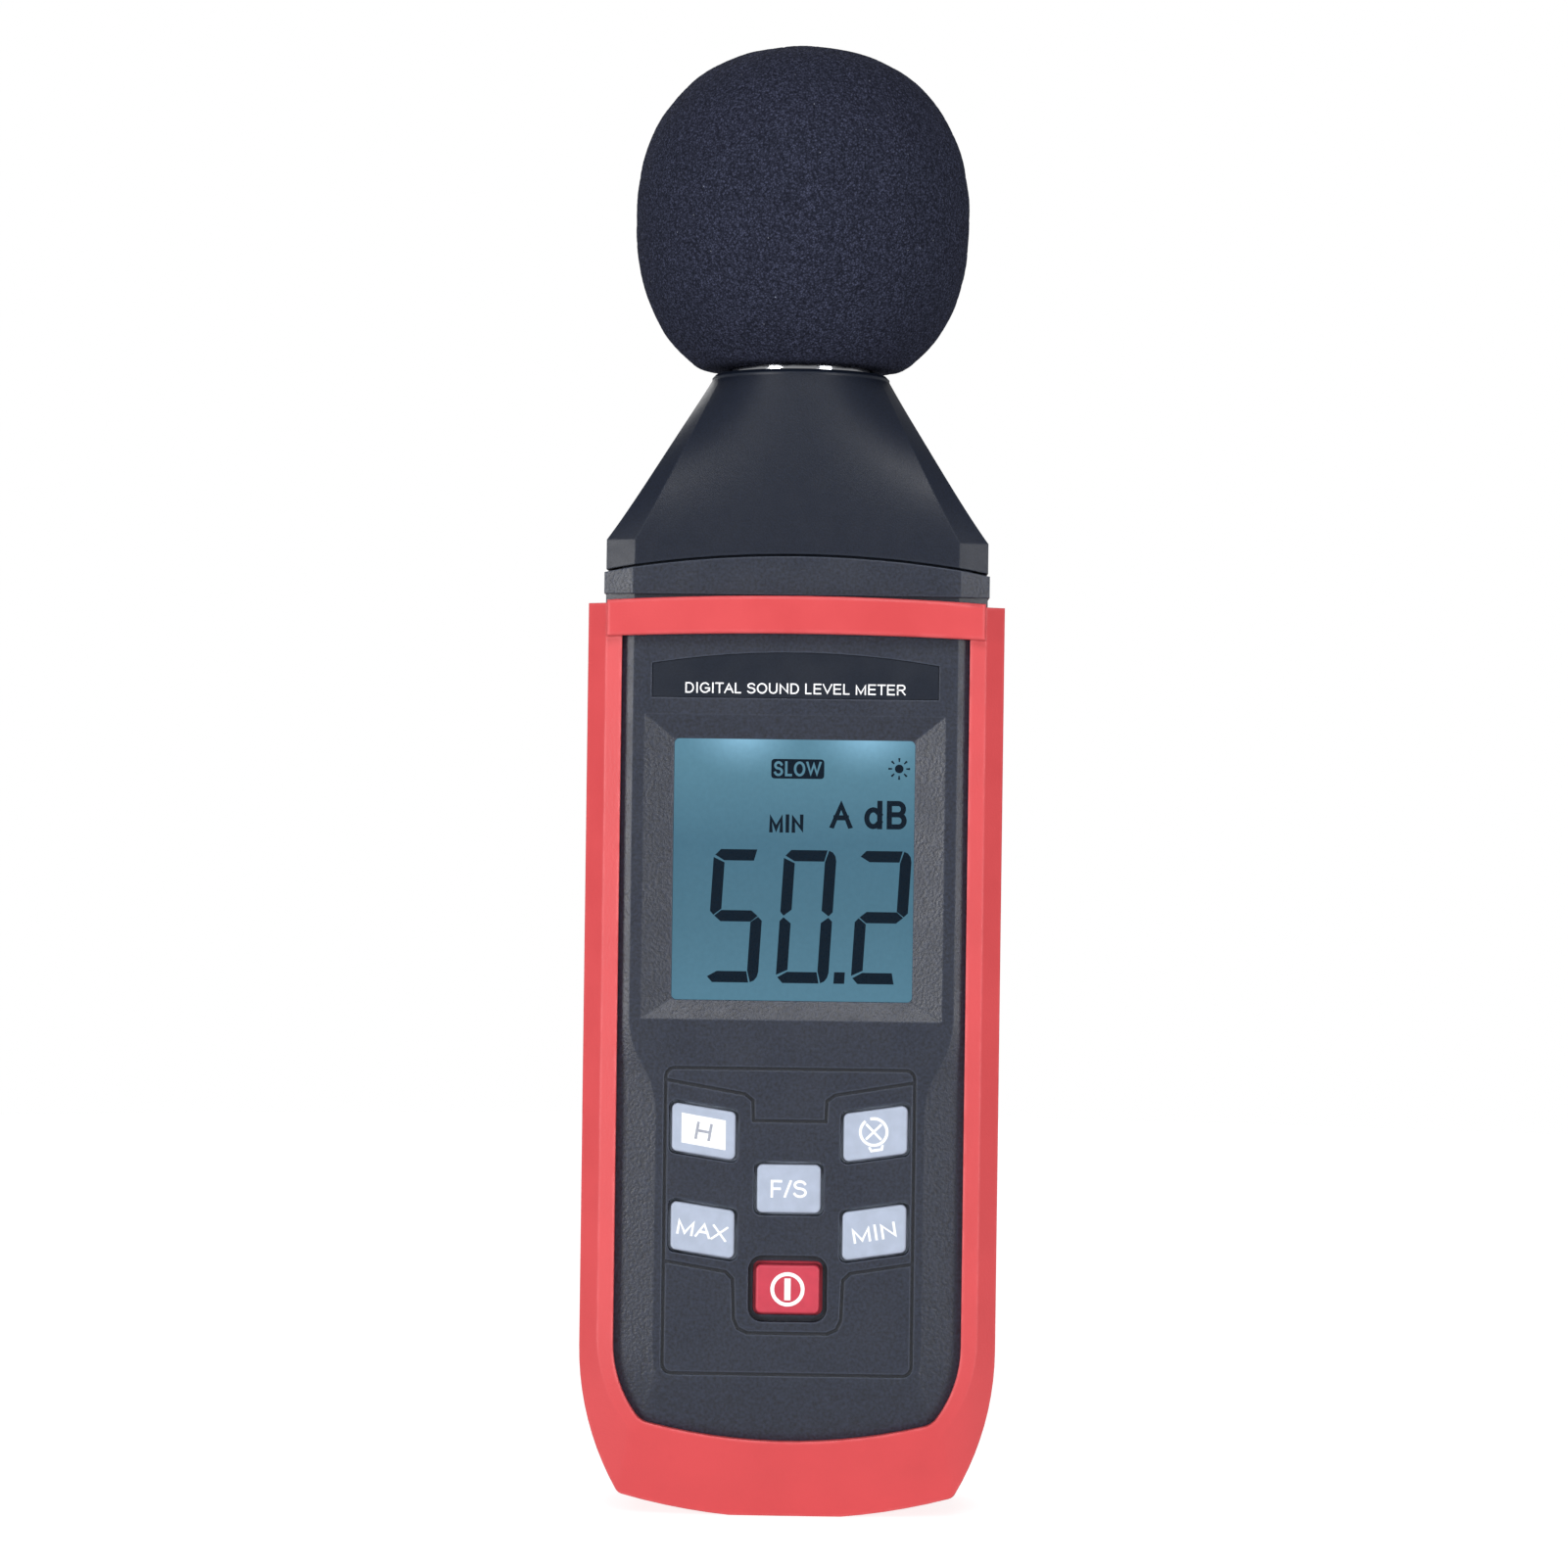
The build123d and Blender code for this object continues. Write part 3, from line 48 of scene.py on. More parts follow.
# ------------------------------------------------------------------ camera and light
SENSOR = 36.0
CAMERA_DISTANCE = 600.0
FRAME_WIDTH = 221.3  # width of the view at the object
CAMERA_AIM = (-1.64, 0.0, 101.3)
CAMERA_YAW = 1.0  # degrees
CAMERA_ROLL = 0.76
SKY = 0.3
BACKDROP_WHITE = 1.0
FLOOR_RADIUS = 700.0
FLOOR_GLOW = 0.84  # to the eye
FLOOR_LIGHT = 0.5  # to the object
FLOOR_CORNERS = 96
LIGHTS = {  # name: (place, aimed at, size, watts)
    "left_light": ((-740.0, -800.0, 150.0), (0.0, 0.0, 80.0), 360.0, 5.6),
    "front_light": ((60.0, -900.0, 900.0), (0.0, 0.0, 100.0), 500.0, 5.9),
    "right_light": ((720.0, -790.0, 150.0), (0.0, 0.0, 80.0), 340.0, 3.2),
    "back_light": ((-250.0, 1100.0, 820.0), (0.0, 0.0, 110.0), 900.0, 6.0),
}

# ------------------------------------------------------------------ foam ball
FOAM_RADIUS = 23.6
FOAM_CENTRE = 181.0
FOAM_UPPER = 24.05
FOAM_LOWER = 25.1
FOAM_POWER_UPPER = 2.24
FOAM_POWER_LOWER = 2.35
FOAM_BOTTOM = 159.6
FOAM_BORE = 6.6
FOAM_POCKET = 10.1
FOAM_POCKET_TOP = 161.4
FOAM_ROUND = 1.1  # how far the rounding reaches from the edge between the skin and the underside
FOAM_SEGMENTS = 440
FOAM_SKIN_ROWS = 170
FOAM_SKIN_STEPS = 4000  # fine steps from which the evenly spaced rows are picked
FOAM_PORE = 0.66
FOAM_PORE_DEPTH = 0.16
FOAM_SWELL = 4.5
FOAM_SWELL_DEPTH = 0.12

# ------------------------------------------------------------------ display figures
INK_FRONT = -10.45
INK_DEPTH = 0.06
LAMP_X = (-7.2, 10.0)
LAMP_Z = 108.6
LAMP_SPREAD = (0.72, 1.0, 0.95)  # below 1, the glow reaches further along that axis
GLASS_Y = -10.4
DIGIT_LEFT = (-12.05, -2.3, 8.12)
DIGIT_BASE = 73.7
DIGIT_WIDTH = 7.28
DIGIT_HEIGHT = 18.47
DIGIT_STROKE = 1.56
DIGIT_GAP = 0.1
DIGIT_LEAN = math.tan(math.radians(3.2))
DIGIT_SEGMENTS = {
    "5": ("top", "upper_left", "middle", "lower_right", "bottom"),
    "0": ("top", "upper_left", "upper_right", "lower_left", "lower_right", "bottom"),
    "2": ("top", "upper_right", "middle", "lower_left", "bottom"),
}
READING = ("5", "0", "2")
# Boxes are (left, right, foot, top).
POINT_BOX = (5.75, 7.25, 73.7, 75.3)
SLOW_FIELD = (-3.25, 4.1, 102.05, 104.77)
SLOW_FIELD_CORNER = 0.45
SLOW_BOX = (-2.9, 3.72, 102.38, 104.46)
MIN_BOX = (-3.44, 1.31, 94.56, 97.1)
WEIGHTING_BOX = (4.97, 8.09, 95.2, 99.15)
DECIBEL_BOX = (9.72, 15.63, 95.2, 99.15)
INK_RAISE = 0.02  # how far lettering on an inked field stands out of it
SUN_CENTRE = (14.49, 103.6)
SUN_RADIUS = 0.6
SUN_CORNERS = 24
SUN_RAYS = 8
RAY_REACH = (0.95, 1.5)
RAY_HALF_WIDTH = (0.08, 0.15)

# ------------------------------------------------------------------ key legends and title
LEGEND_FRONT = -13.98
LEGEND_DEPTH = 0.05
LEGEND_TURN = 9.5  # degrees that the outer keys' legends are turned
RELIEF_STEP = 0.0004  # each shape in a relief is this much prouder than the last, so none share a face
KEY_CENTRES = {
    "hold_key": (-11.85, 53.25),
    "backlight_key": (11.85, 53.25),
    "fast_slow_key": (0.0, 45.5),
    "max_key": (-11.85, 39.65),
    "min_key": (11.85, 39.65),
    "power_key": (0.0, 31.65),
}
LEGEND_WEIGHT = 0.35
HOLD_FIELD_HALF = (3.05, 2.05)
HOLD_LETTER_HALF = (1.1, 1.2)
HOLD_LETTER_WEIGHT = 0.38
BULB_OFFSET = (-0.2, 0.3)
BULB_RADIUS = 1.84
BULB_WEIGHT = 0.4
BULB_GAP = (90, 125)  # degrees between which the ring is open
CROSS_REACH = 1.5
CROSS_HALF_WIDTH = 0.17
CROSS_TURN = 35  # degrees
POWER_RADIUS = 2.1
POWER_WEIGHT = 0.52
POWER_BAR_HALF = 1.07
POWER_BAR_WEIGHT = 0.86
TITLE_FRONT = -13.41
TITLE_BOX = (-15.2, 15.2, 113.72, 115.2)
TITLE_WEIGHT = 0.2
LABEL_FACE = 13.93
LABEL_DEPTH = 0.05
LABEL_HALF = 15.2
LABEL_FOOT = 94.1
LABEL_TOP = 105.9
LABEL_RULES = (99.9, 97.2)
LABEL_RULE_INSET = 1.5
LABEL_LINE = 0.2
LABEL_NAME_BOX = (-12.5, 12.5, 101.9, 103.9)
LABEL_NAME_WEIGHT = 0.26


# ------------------------------------------------------------------ material helpers
def linear(colour):
    """A display colour of 0 to 255 a channel as the linear colour that shaders use."""
    def channel(value):
        share = value / 255
        return share / 12.92 if share <= 0.04045 else ((share + 0.055) / 1.055) ** 2.4
    return tuple(channel(value) for value in colour)


def scaled(colour, factor):
    return tuple(min(1.0, value * factor) for value in colour)


class Finish:
    """One procedural material: a Principled shader and the nodes that feed it."""

    def __init__(self, name, colour, roughness, **sockets):
        self.material = bpy.data.materials.new(name)
        self.material.use_nodes = True
        self.nodes = self.material.node_tree.nodes
        self.links = self.material.node_tree.links
        self.shader = self.nodes["Principled BSDF"]
        self.colour = linear(colour)
        self.place = self.add("TexCoord", {}, output="Object")
        self.set("Base Color", (*self.colour, 1.0))
        self.set("Roughness", roughness)
        for socket, value in sockets.items():
            self.set(socket.replace("_", " "), value)

    def set(self, socket, value):
        """Gives one of the shader's sockets a value, or another node's output."""
        target = self.shader.inputs[socket]
        if isinstance(value, bpy.types.NodeSocket):
            self.links.new(value, target)
        else:
            target.default_value = value

    def add(self, kind, inputs, output=0, **settings):
        """Adds a node with its settings and inputs, and returns one of its outputs."""
        node = self.nodes.new("ShaderNode" + kind)
        for key, value in settings.items():
            setattr(node, key, value)
        for key, value in inputs.items():
            if isinstance(value, bpy.types.NodeSocket):
                self.links.new(value, node.inputs[key])
            else:
                node.inputs[key].default_value = value
        return node.outputs[output]

    def stretched(self, stretch):
        """Object coordinates scaled by a factor on each axis, for grain with a direction."""
        return self.add("Mapping", {"Vector": self.place, "Scale": stretch})

    def grain(self, size, detail=2.0, stretch=None):
        """Noise whose features are about that many millimetres across."""
        place = self.stretched(stretch) if stretch else self.place
        return self.add("TexNoise", {"Vector": place, "Scale": 1 / (size * MM), "Detail": detail})

    def cells(self, size, output=0):
        """Distance to the nearest of points scattered about that many millimetres apart."""
        return self.add("TexVoronoi", {"Vector": self.place, "Scale": 1 / (size * MM)}, output)

    def remap(self, source, start, end, low, high):
        """Source from start to end becomes low to high, held at both ends."""
        return self.add("MapRange", {"Value": source, "From Min": start, "From Max": end,
                                     "To Min": low, "To Max": high})

    def combine(self, operation, first, second):
        return self.add("Math", {0: first, 1: second}, operation=operation)

    def ramp(self, source, stops):
        """A colour for each stop (share, linear colour)."""
        output = self.add("ValToRGB", {"Fac": source})
        elements = output.node.color_ramp.elements
        while len(elements) < len(stops):
            elements.new(0.5)
        for element, (share, colour) in zip(elements, stops):
            element.position = share
            element.color = (*colour, 1.0)
        return output

    def blend(self, share, first, second, mode="MIX"):
        """Mixes two colours, each a linear colour or an output."""
        output = self.add("Mix", {}, output=2, data_type="RGBA", blend_type=mode)
        for key, value in ((0, share), (6, first), (7, second)):
            target = output.node.inputs[key]
            if isinstance(value, bpy.types.NodeSocket):
                self.links.new(value, target)
            else:
                target.default_value = (*value, 1.0) if isinstance(value, tuple) else value
        return output

    def mottle(self, source, amount, start=0.35, end=0.65):
        """The base colour, darker and lighter by a share as the source varies."""
        return self.ramp(self.remap(source, start, end, 0.0, 1.0),
                         [(0.0, scaled(self.colour, 1 - amount)), (1.0, scaled(self.colour, 1 + amount))])

    def rounded(self, radius):
        """The surface normal as if edges had that radius."""
        return self.add("Bevel", {"Radius": radius * MM}, samples=4)

    def edges(self, radius):
        """1 along sharp edges and 0 on flat faces."""
        true_normal = self.add("NewGeometry", {}, output="Normal")
        match = self.add("VectorMath", {0: self.rounded(radius), 1: true_normal}, output="Value",
                         operation="DOT_PRODUCT")
        return self.remap(match, 0.995, 0.9, 0.0, 1.0)

    def crevice_shade(self, reach):
        """Painted shade: 1 deep in grooves and corners, falling to 0 on open faces."""
        openness = self.add("AmbientOcclusion", {"Distance": reach * MM}, output="AO", samples=4,
                            only_local=True)
        return self.remap(openness, 0.45, 0.95, 0.9, 0.0)

    def relief(self, source, depth, normal=None):
        """Feeds a height that varies by depth into the shader's normal."""
        inputs = {"Height": source, "Distance": depth * MM, "Strength": 1.0}
        if normal is not None:
            inputs["Normal"] = normal
        self.set("Normal", self.add("Bump", inputs))

    def wear(self, source, low, high, start=0.35, end=0.65):
        """Roughness between low and high as the source varies."""
        self.set("Roughness", self.remap(source, start, end, low, high))


# ------------------------------------------------------------------ materials of the visible shell
def boot_rubber():
    """Moulded red rubber: satin, finely pitted, paler in patches along edges, partly as rubbed wear and partly
    as a painted highlight.
    """
    finish = Finish("boot_rubber", (206, 66, 70), 0.4, Specular_IOR_Level=0.55)
    cloud = finish.grain(9.0, detail=3.0)
    pits = finish.grain(0.28, detail=2.0)
    patches = finish.remap(finish.grain(3.0), 0.4, 0.6, 0.2, 0.7)
    # Paler patches along the edges: partly rubbed wear, partly a painted highlight where light catches the
    # edges.
    rubbed_and_lit_edges = finish.combine("MULTIPLY", finish.edges(0.7), patches)
    body = finish.mottle(cloud, 0.03)
    finish.set("Base Color", finish.blend(rubbed_and_lit_edges, body, linear((236, 112, 116))))
    finish.wear(cloud, 0.36, 0.45)
    finish.relief(pits, 0.02, finish.rounded(0.35))
    return finish.material


def case_plastic():
    """Black ABS with a fine spark-eroded texture, with painted highlights on its edges and painted shade in
    its grooves.
    """
    finish = Finish("case_plastic", (30, 36, 51), 0.4, Specular_IOR_Level=0.55)
    texture = finish.grain(0.42, detail=3.0)
    cloud = finish.grain(6.0)
    speckle = finish.mottle(texture, 0.5, 0.3, 0.7)
    # Paler along sharp edges: a painted highlight where light catches them.
    body = finish.blend(finish.edges(0.4), speckle, linear((62, 70, 86)))
    # Painted shade: grooves and corners darkened towards black.
    finish.set("Base Color", finish.blend(finish.crevice_shade(0.7), body, (0.0, 0.0, 0.0)))
    finish.wear(cloud, 0.37, 0.43)
    finish.relief(texture, 0.07, finish.rounded(0.25))
    return finish.material


def head_plastic():
    """The head's plastic: the same black with a finer, smoother surface, and a painted highlight along its
    edges.
    """
    finish = Finish("head_plastic", (18, 25, 40), 0.42, Specular_IOR_Level=0.36)
    texture = finish.grain(0.22, detail=2.0)
    speckle = finish.mottle(texture, 0.2)
    # Paler along sharp edges: a painted highlight where light catches them.
    finish.set("Base Color", finish.blend(finish.edges(0.5), speckle, linear((40, 47, 60))))
    finish.wear(finish.grain(2.0), 0.4, 0.43)
    finish.relief(texture, 0.018, finish.rounded(0.3))
    return finish.material


def foam():
    """Open-cell foam: charcoal struts with painted shade in the pores between them, and a few bright flecks.
    """
    finish = Finish("foam", (48, 51, 67), 1.0, Specular_IOR_Level=0.05)
    pores = finish.cells(0.32)
    lumps = finish.grain(0.55, detail=3.0)
    # Painted shade: the pores are darkened, the lumps vary the tone at random.
    shade = finish.combine("MULTIPLY", finish.remap(pores, 0.15, 0.75, 1.0, 0.25),
                           finish.remap(lumps, 0.35, 0.65, 0.6, 1.2))
    body = finish.ramp(shade, [(0.0, scaled(finish.colour, 0.25)), (0.6, finish.colour),
                               (1.0, scaled(finish.colour, 2.0))])
    # A few small bright flecks scattered over the foam.
    bright_flecks = finish.remap(finish.cells(2.4), 0.03, 0.038, 1.0, 0.0)
    finish.set("Base Color", finish.blend(bright_flecks, body, linear((135, 140, 152))))
    height = finish.combine("ADD", pores, finish.combine("MULTIPLY", lumps, 0.8))
    finish.relief(finish.combine("MULTIPLY", height, -1.0), 0.3)
    return finish.material


def bright_metal():
    """Polished plating with faint turning lines."""
    finish = Finish("bright_metal", (225, 227, 232), 0.1, Metallic=1.0)
    lines = finish.grain(0.25, stretch=(0.05, 0.05, 1.0))
    finish.wear(lines, 0.06, 0.16)
    finish.relief(lines, 0.002)
    return finish.material


def title_inlay():
    """Satin film of the name inlay."""
    finish = Finish("title_inlay", (20, 27, 40), 0.4, Specular_IOR_Level=0.35)
    weave = finish.grain(0.18)
    finish.set("Base Color", finish.mottle(weave, 0.15))
    finish.wear(finish.grain(4.0), 0.36, 0.44)
    finish.relief(weave, 0.012)
    return finish.material


def clear_window():
    """Clear acrylic with a trace of haze and hairline scratches."""
    finish = Finish("clear_window", (6, 12, 18), 0.05, Alpha=0.12, IOR=2.0)
    haze = finish.grain(5.0)
    finish.wear(haze, 0.04, 0.09)
    finish.relief(finish.grain(1.2, stretch=(0.1, 1.0, 1.0)), 0.0008)
    return finish.material


def display_glow(finish):
    """The backlight through the display: teal, brighter at the foot and round the lamps at the top."""
    height = finish.add("SeparateXYZ", {"Vector": finish.place}, output="Z")
    level = finish.remap(height, 71.3 * MM, 107.4 * MM, 0.0, 1.0)
    body = finish.ramp(level, [(0.0, linear((92, 140, 163))), (0.3, linear((83, 129, 151))),
                               (0.6, linear((79, 125, 148))), (0.9, linear((97, 147, 169))),
                               (1.0, linear((103, 154, 178)))])
    for x in LAMP_X:
        lamp = (x * MM, GLASS_Y * MM, LAMP_Z * MM)
        offset = finish.add("VectorMath", {0: finish.place, 1: lamp}, operation="SUBTRACT")
        shape = finish.add("VectorMath", {0: offset, 1: LAMP_SPREAD}, operation="MULTIPLY")
        reach = finish.add("VectorMath", {0: shape}, output="Value", operation="LENGTH")
        spot = finish.remap(reach, 0.4 * MM, 6.5 * MM, 1.0, 0.0)
        spot = finish.combine("POWER", spot, 1.8)
        body = finish.blend(spot, body, linear((160, 218, 250)))
    return body


def lcd_cell():
    """The display glass, lit from behind, with a faint grain from its polariser."""
    finish = Finish("lcd_cell", (14, 22, 26), 0.35, Specular_IOR_Level=0.1)
    glow = display_glow(finish)
    film = finish.remap(finish.grain(0.6), 0.3, 0.7, 0.97, 1.03)
    shaded = finish.blend(1.0, glow, film, mode="MULTIPLY")
    finish.set("Emission Color", shaded)
    finish.set("Emission Strength", 1.0)
    finish.wear(finish.grain(1.5), 0.3, 0.4)
    return finish.material


def lcd_ink():
    """Switched-on segments: nearly black, with a trace of blue let through."""
    finish = Finish("lcd_ink", (0, 14, 26), 0.45, Specular_IOR_Level=0.05)
    finish.set("Base Color", finish.mottle(finish.grain(0.5), 0.12))
    finish.set("Emission Color", (*linear((0, 20, 36)), 1.0))
    finish.set("Emission Strength", 0.7)
    return finish.material


def key_plastic(name, colour):
    """Key caps: smooth moulded resin with a soft sheen and a little grime."""
    finish = Finish(name, colour, 0.42, Specular_IOR_Level=0.45)
    finish.set("Base Color", finish.mottle(finish.grain(1.6, detail=4.0), 0.05))
    finish.wear(finish.grain(3.0), 0.38, 0.48)
    finish.relief(finish.grain(0.16), 0.006, finish.rounded(0.15))
    return finish.material


def key_grey():
    """Pale blue-grey key caps."""
    return key_plastic("key_grey", (167, 177, 196))


def key_red():
    """The red power key."""
    return key_plastic("key_red", (192, 58, 76))


def legend_white():
    """White pad-printed ink, slightly uneven."""
    finish = Finish("legend_white", (246, 247, 250), 0.5)
    finish.set("Base Color", finish.mottle(finish.grain(0.3), 0.04))
    finish.wear(finish.grain(0.5), 0.45, 0.6)
    return finish.material


def legend_grey():
    """Grey letter on the hold key's white field."""
    finish = Finish("legend_grey", (158, 162, 174), 0.5)
    finish.set("Base Color", finish.mottle(finish.grain(0.3), 0.08))
    finish.wear(finish.grain(0.5), 0.45, 0.6)
    return finish.material


def label_film():
    """Brushed silver film of the label on the back."""
    finish = Finish("label_film", (168, 170, 174), 0.38, Metallic=0.6)
    brushed = finish.grain(0.12, stretch=(0.04, 1.0, 1.0))
    finish.set("Base Color", finish.mottle(brushed, 0.08))
    finish.wear(brushed, 0.3, 0.46)
    finish.relief(brushed, 0.002)
    return finish.material


# ------------------------------------------------------------------ materials of the inner parts
def metal(name, colour, roughness, grain_size, stretch=None):
    """Bare metal with grain of that size, and fine marks along it."""
    finish = Finish(name, colour, roughness, Metallic=1.0)
    marks = finish.grain(grain_size, detail=4.0, stretch=stretch)
    finish.set("Base Color", finish.mottle(marks, 0.07))
    finish.wear(marks, roughness * 0.75, roughness * 1.3)
    finish.relief(marks, 0.003)
    return finish.material


def moulded(name, colour, roughness, grain_size, depth):
    """Moulded resin or rubber with grain of that size and depth."""
    finish = Finish(name, colour, roughness)
    surface = finish.grain(grain_size, detail=3.0)
    finish.set("Base Color", finish.mottle(finish.grain(grain_size * 7), 0.1))
    finish.wear(surface, roughness * 0.85, roughness * 1.15)
    finish.relief(surface, depth)
    return finish.material


def tube_metal():
    """Drawn nickel-plated brass of the microphone parts."""
    return metal("tube_metal", (196, 198, 202), 0.24, 0.2, stretch=(1.0, 1.0, 0.08))


def brass():
    """Machined brass."""
    return metal("brass", (206, 168, 92), 0.3, 0.15, stretch=(1.0, 0.2, 1.0))


def screw_steel():
    """Zinc-plated screws."""
    return metal("screw_steel", (176, 178, 182), 0.32, 0.3)


def contact_steel():
    """Nickel-plated spring steel."""
    return metal("contact_steel", (200, 200, 200), 0.22, 0.25)


def capacitor_can():
    """Aluminium capacitor cans."""
    return metal("capacitor_can", (190, 193, 198), 0.35, 0.2, stretch=(1.0, 0.1, 1.0))


def mat_silicone():
    """Grey translucent silicone of the keypad mat."""
    return moulded("mat_silicone", (120, 124, 130), 0.6, 0.3, 0.01)


def carbon_pill():
    """Carbon-loaded rubber."""
    return moulded("carbon_pill", (20, 20, 21), 0.75, 0.15, 0.01)


def light_guide():
    """Frosted acrylic of the light guide."""
    return moulded("light_guide", (226, 234, 238), 0.35, 0.4, 0.008)


def led_body():
    """White lamp bodies."""
    return moulded("led_body", (238, 238, 228), 0.4, 0.2, 0.004)


def white_plastic():
    """White nylon."""
    return moulded("white_plastic", (226, 226, 220), 0.45, 0.25, 0.006)


def bush_rubber():
    """Black rubber of the microphone's bush."""
    return moulded("bush_rubber", (24, 24, 26), 0.7, 0.25, 0.012)


def chip_black():
    """Moulded epoxy packages."""
    return moulded("chip_black", (30, 30, 32), 0.55, 0.12, 0.006)


def trimmer_blue():
    """Blue trimmer housing."""
    return moulded("trimmer_blue", (32, 88, 168), 0.4, 0.2, 0.005)


def wire_red():
    """Red insulation."""
    return moulded("wire_red", (182, 28, 28), 0.4, 0.3, 0.004)


def wire_black():
    """Black insulation."""
    return moulded("wire_black", (22, 22, 23), 0.4, 0.3, 0.004)


def zebra_rubber():
    """Layers of conducting and insulating rubber."""
    finish = Finish("zebra_rubber", (150, 120, 124), 0.6)
    layers = finish.add("TexWave", {"Vector": finish.place, "Scale": 1600.0}, output="Fac")
    stripes = [(0.45, linear((214, 150, 152))), (0.55, linear((30, 30, 32)))]
    finish.set("Base Color", finish.ramp(layers, stripes))
    finish.relief(layers, 0.004)
    return finish.material


def board_green():
    """Green solder mask over copper tracks."""
    finish = Finish("board_green", (18, 84, 50), 0.32, Coat_Weight=0.3)
    bricks = {"Vector": finish.place, "Scale": 160.0, "Mortar Size": 0.03}
    tracks = finish.add("TexBrick", bricks, output="Fac")
    mask = finish.mottle(finish.grain(5.0), 0.1)
    finish.set("Base Color", finish.blend(tracks, mask, linear((34, 116, 66))))
    finish.wear(finish.grain(2.0), 0.28, 0.4)
    finish.relief(tracks, 0.02)
    return finish.material


def cell_wrap():
    """Shrink film of the cells: dark with a paler band at the foot."""
    finish = Finish("cell_wrap", (38, 42, 50), 0.28, Coat_Weight=0.5)
    height = finish.add("SeparateXYZ", {"Vector": finish.place}, output="Z")
    band = finish.remap(height, 34.0 * MM, 34.2 * MM, 1.0, 0.0)
    film = finish.mottle(finish.grain(4.0), 0.1)
    finish.set("Base Color", finish.blend(band, film, linear((186, 150, 84))))
    finish.wear(finish.grain(1.0), 0.24, 0.34)
    finish.relief(finish.grain(2.5), 0.01)
    return finish.material


SLOT_FINISHES = (
    boot_rubber, case_plastic, head_plastic, foam, bright_metal, tube_metal, brass, screw_steel,
    contact_steel, key_grey, key_red, mat_silicone, carbon_pill, title_inlay, label_film, clear_window,
    lcd_cell, light_guide, led_body, white_plastic, zebra_rubber, board_green, chip_black, capacitor_can,
    trimmer_blue, cell_wrap, bush_rubber, wire_red, wire_black,
)


def paint_nodes():
    """Gives every CAD node the material of its slot, and returns the materials by slot."""
    made = {make.__name__: make() for make in SLOT_FINISHES}
    for part in frame["record"]["subparts"]:
        mesh_slots = frame["nodes"][part["node"]].material_slots
        for mesh_slot in mesh_slots:
            mesh_slot.material = made[part["material_slot"]]
    return made


# ------------------------------------------------------------------ foam ball
def skin_point(angle):
    """Radius and height of the ball's skin, from -90 degrees at the foot to 90 at the top."""
    power = FOAM_POWER_UPPER if angle > 0 else FOAM_POWER_LOWER
    reach = FOAM_RADIUS * math.cos(angle) ** (2 / power)
    rise = abs(math.sin(angle)) ** (2 / power)
    return reach, FOAM_CENTRE + (FOAM_UPPER * rise if angle > 0 else -FOAM_LOWER * rise)


def skin_angle(height):
    """The angle at which the lower skin is at a height."""
    return -math.asin(((FOAM_CENTRE - height) / FOAM_LOWER) ** (FOAM_POWER_LOWER / 2))


def skin_rows():
    """Rows up the skin, evenly spaced along it, from the underside's edge to just short of the pole."""
    lowest = skin_angle(FOAM_BOTTOM + FOAM_ROUND * 0.7)
    fine = [skin_point(lowest + (math.pi / 2 - lowest) * step / FOAM_SKIN_STEPS)
            for step in range(FOAM_SKIN_STEPS + 1)]
    lengths = [0.0]
    for before, after in zip(fine, fine[1:]):
        lengths.append(lengths[-1] + math.dist(before, after))
    rows, index = [], 0
    for row in range(FOAM_SKIN_ROWS):
        wanted = lengths[-1] * row / FOAM_SKIN_ROWS
        while lengths[index] < wanted:
            index += 1
        rows.append(fine[index])
    return rows


def run(start, end, steps):
    """Points from start towards end, leaving out the end."""
    return [tuple(first + (last - first) * step / steps for first, last in zip(start, end))
            for step in range(steps)]


def foam_rows():
    """(radius, height, pore share) from the top of the bore, round the underside and up the skin."""
    skin = skin_rows()
    edge = skin_point(skin_angle(FOAM_BOTTOM))
    flat_end = (edge[0] - FOAM_ROUND, FOAM_BOTTOM)
    inner = run((FOAM_BORE * 0.25, FOAM_CENTRE), (FOAM_BORE, FOAM_CENTRE), 3)
    inner += run((FOAM_BORE, FOAM_CENTRE), (FOAM_BORE, FOAM_POCKET_TOP), 12)
    inner += run((FOAM_BORE, FOAM_POCKET_TOP), (FOAM_POCKET, FOAM_POCKET_TOP), 4)
    inner += run((FOAM_POCKET, FOAM_POCKET_TOP), (FOAM_POCKET, FOAM_BOTTOM), 4)
    under = run((FOAM_POCKET, FOAM_BOTTOM), flat_end, 8)
    corner = []
    for step in range(5):
        share = step / 5
        corner.append(tuple((1 - share) ** 2 * flat_end[axis] + 2 * share * (1 - share) * edge[axis]
                            + share ** 2 * skin[0][axis] for axis in (0, 1)))
    smooth, open_celled = inner + under[:2], under[2:] + corner + skin
    return [(*point, 0.0) for point in smooth] + [(*point, 1.0) for point in open_celled]


def pore_depth(place):
    """How far the foam's skin is sunk at a place, in millimetres."""
    swell = noise.noise(place / FOAM_SWELL) * FOAM_SWELL_DEPTH
    pore = max(0.0, noise.noise(place / FOAM_PORE) + 0.1) * FOAM_PORE_DEPTH
    fine = abs(noise.noise(place / (FOAM_PORE * 0.55))) * FOAM_PORE_DEPTH * 0.5
    return FOAM_SWELL_DEPTH + swell + pore + fine


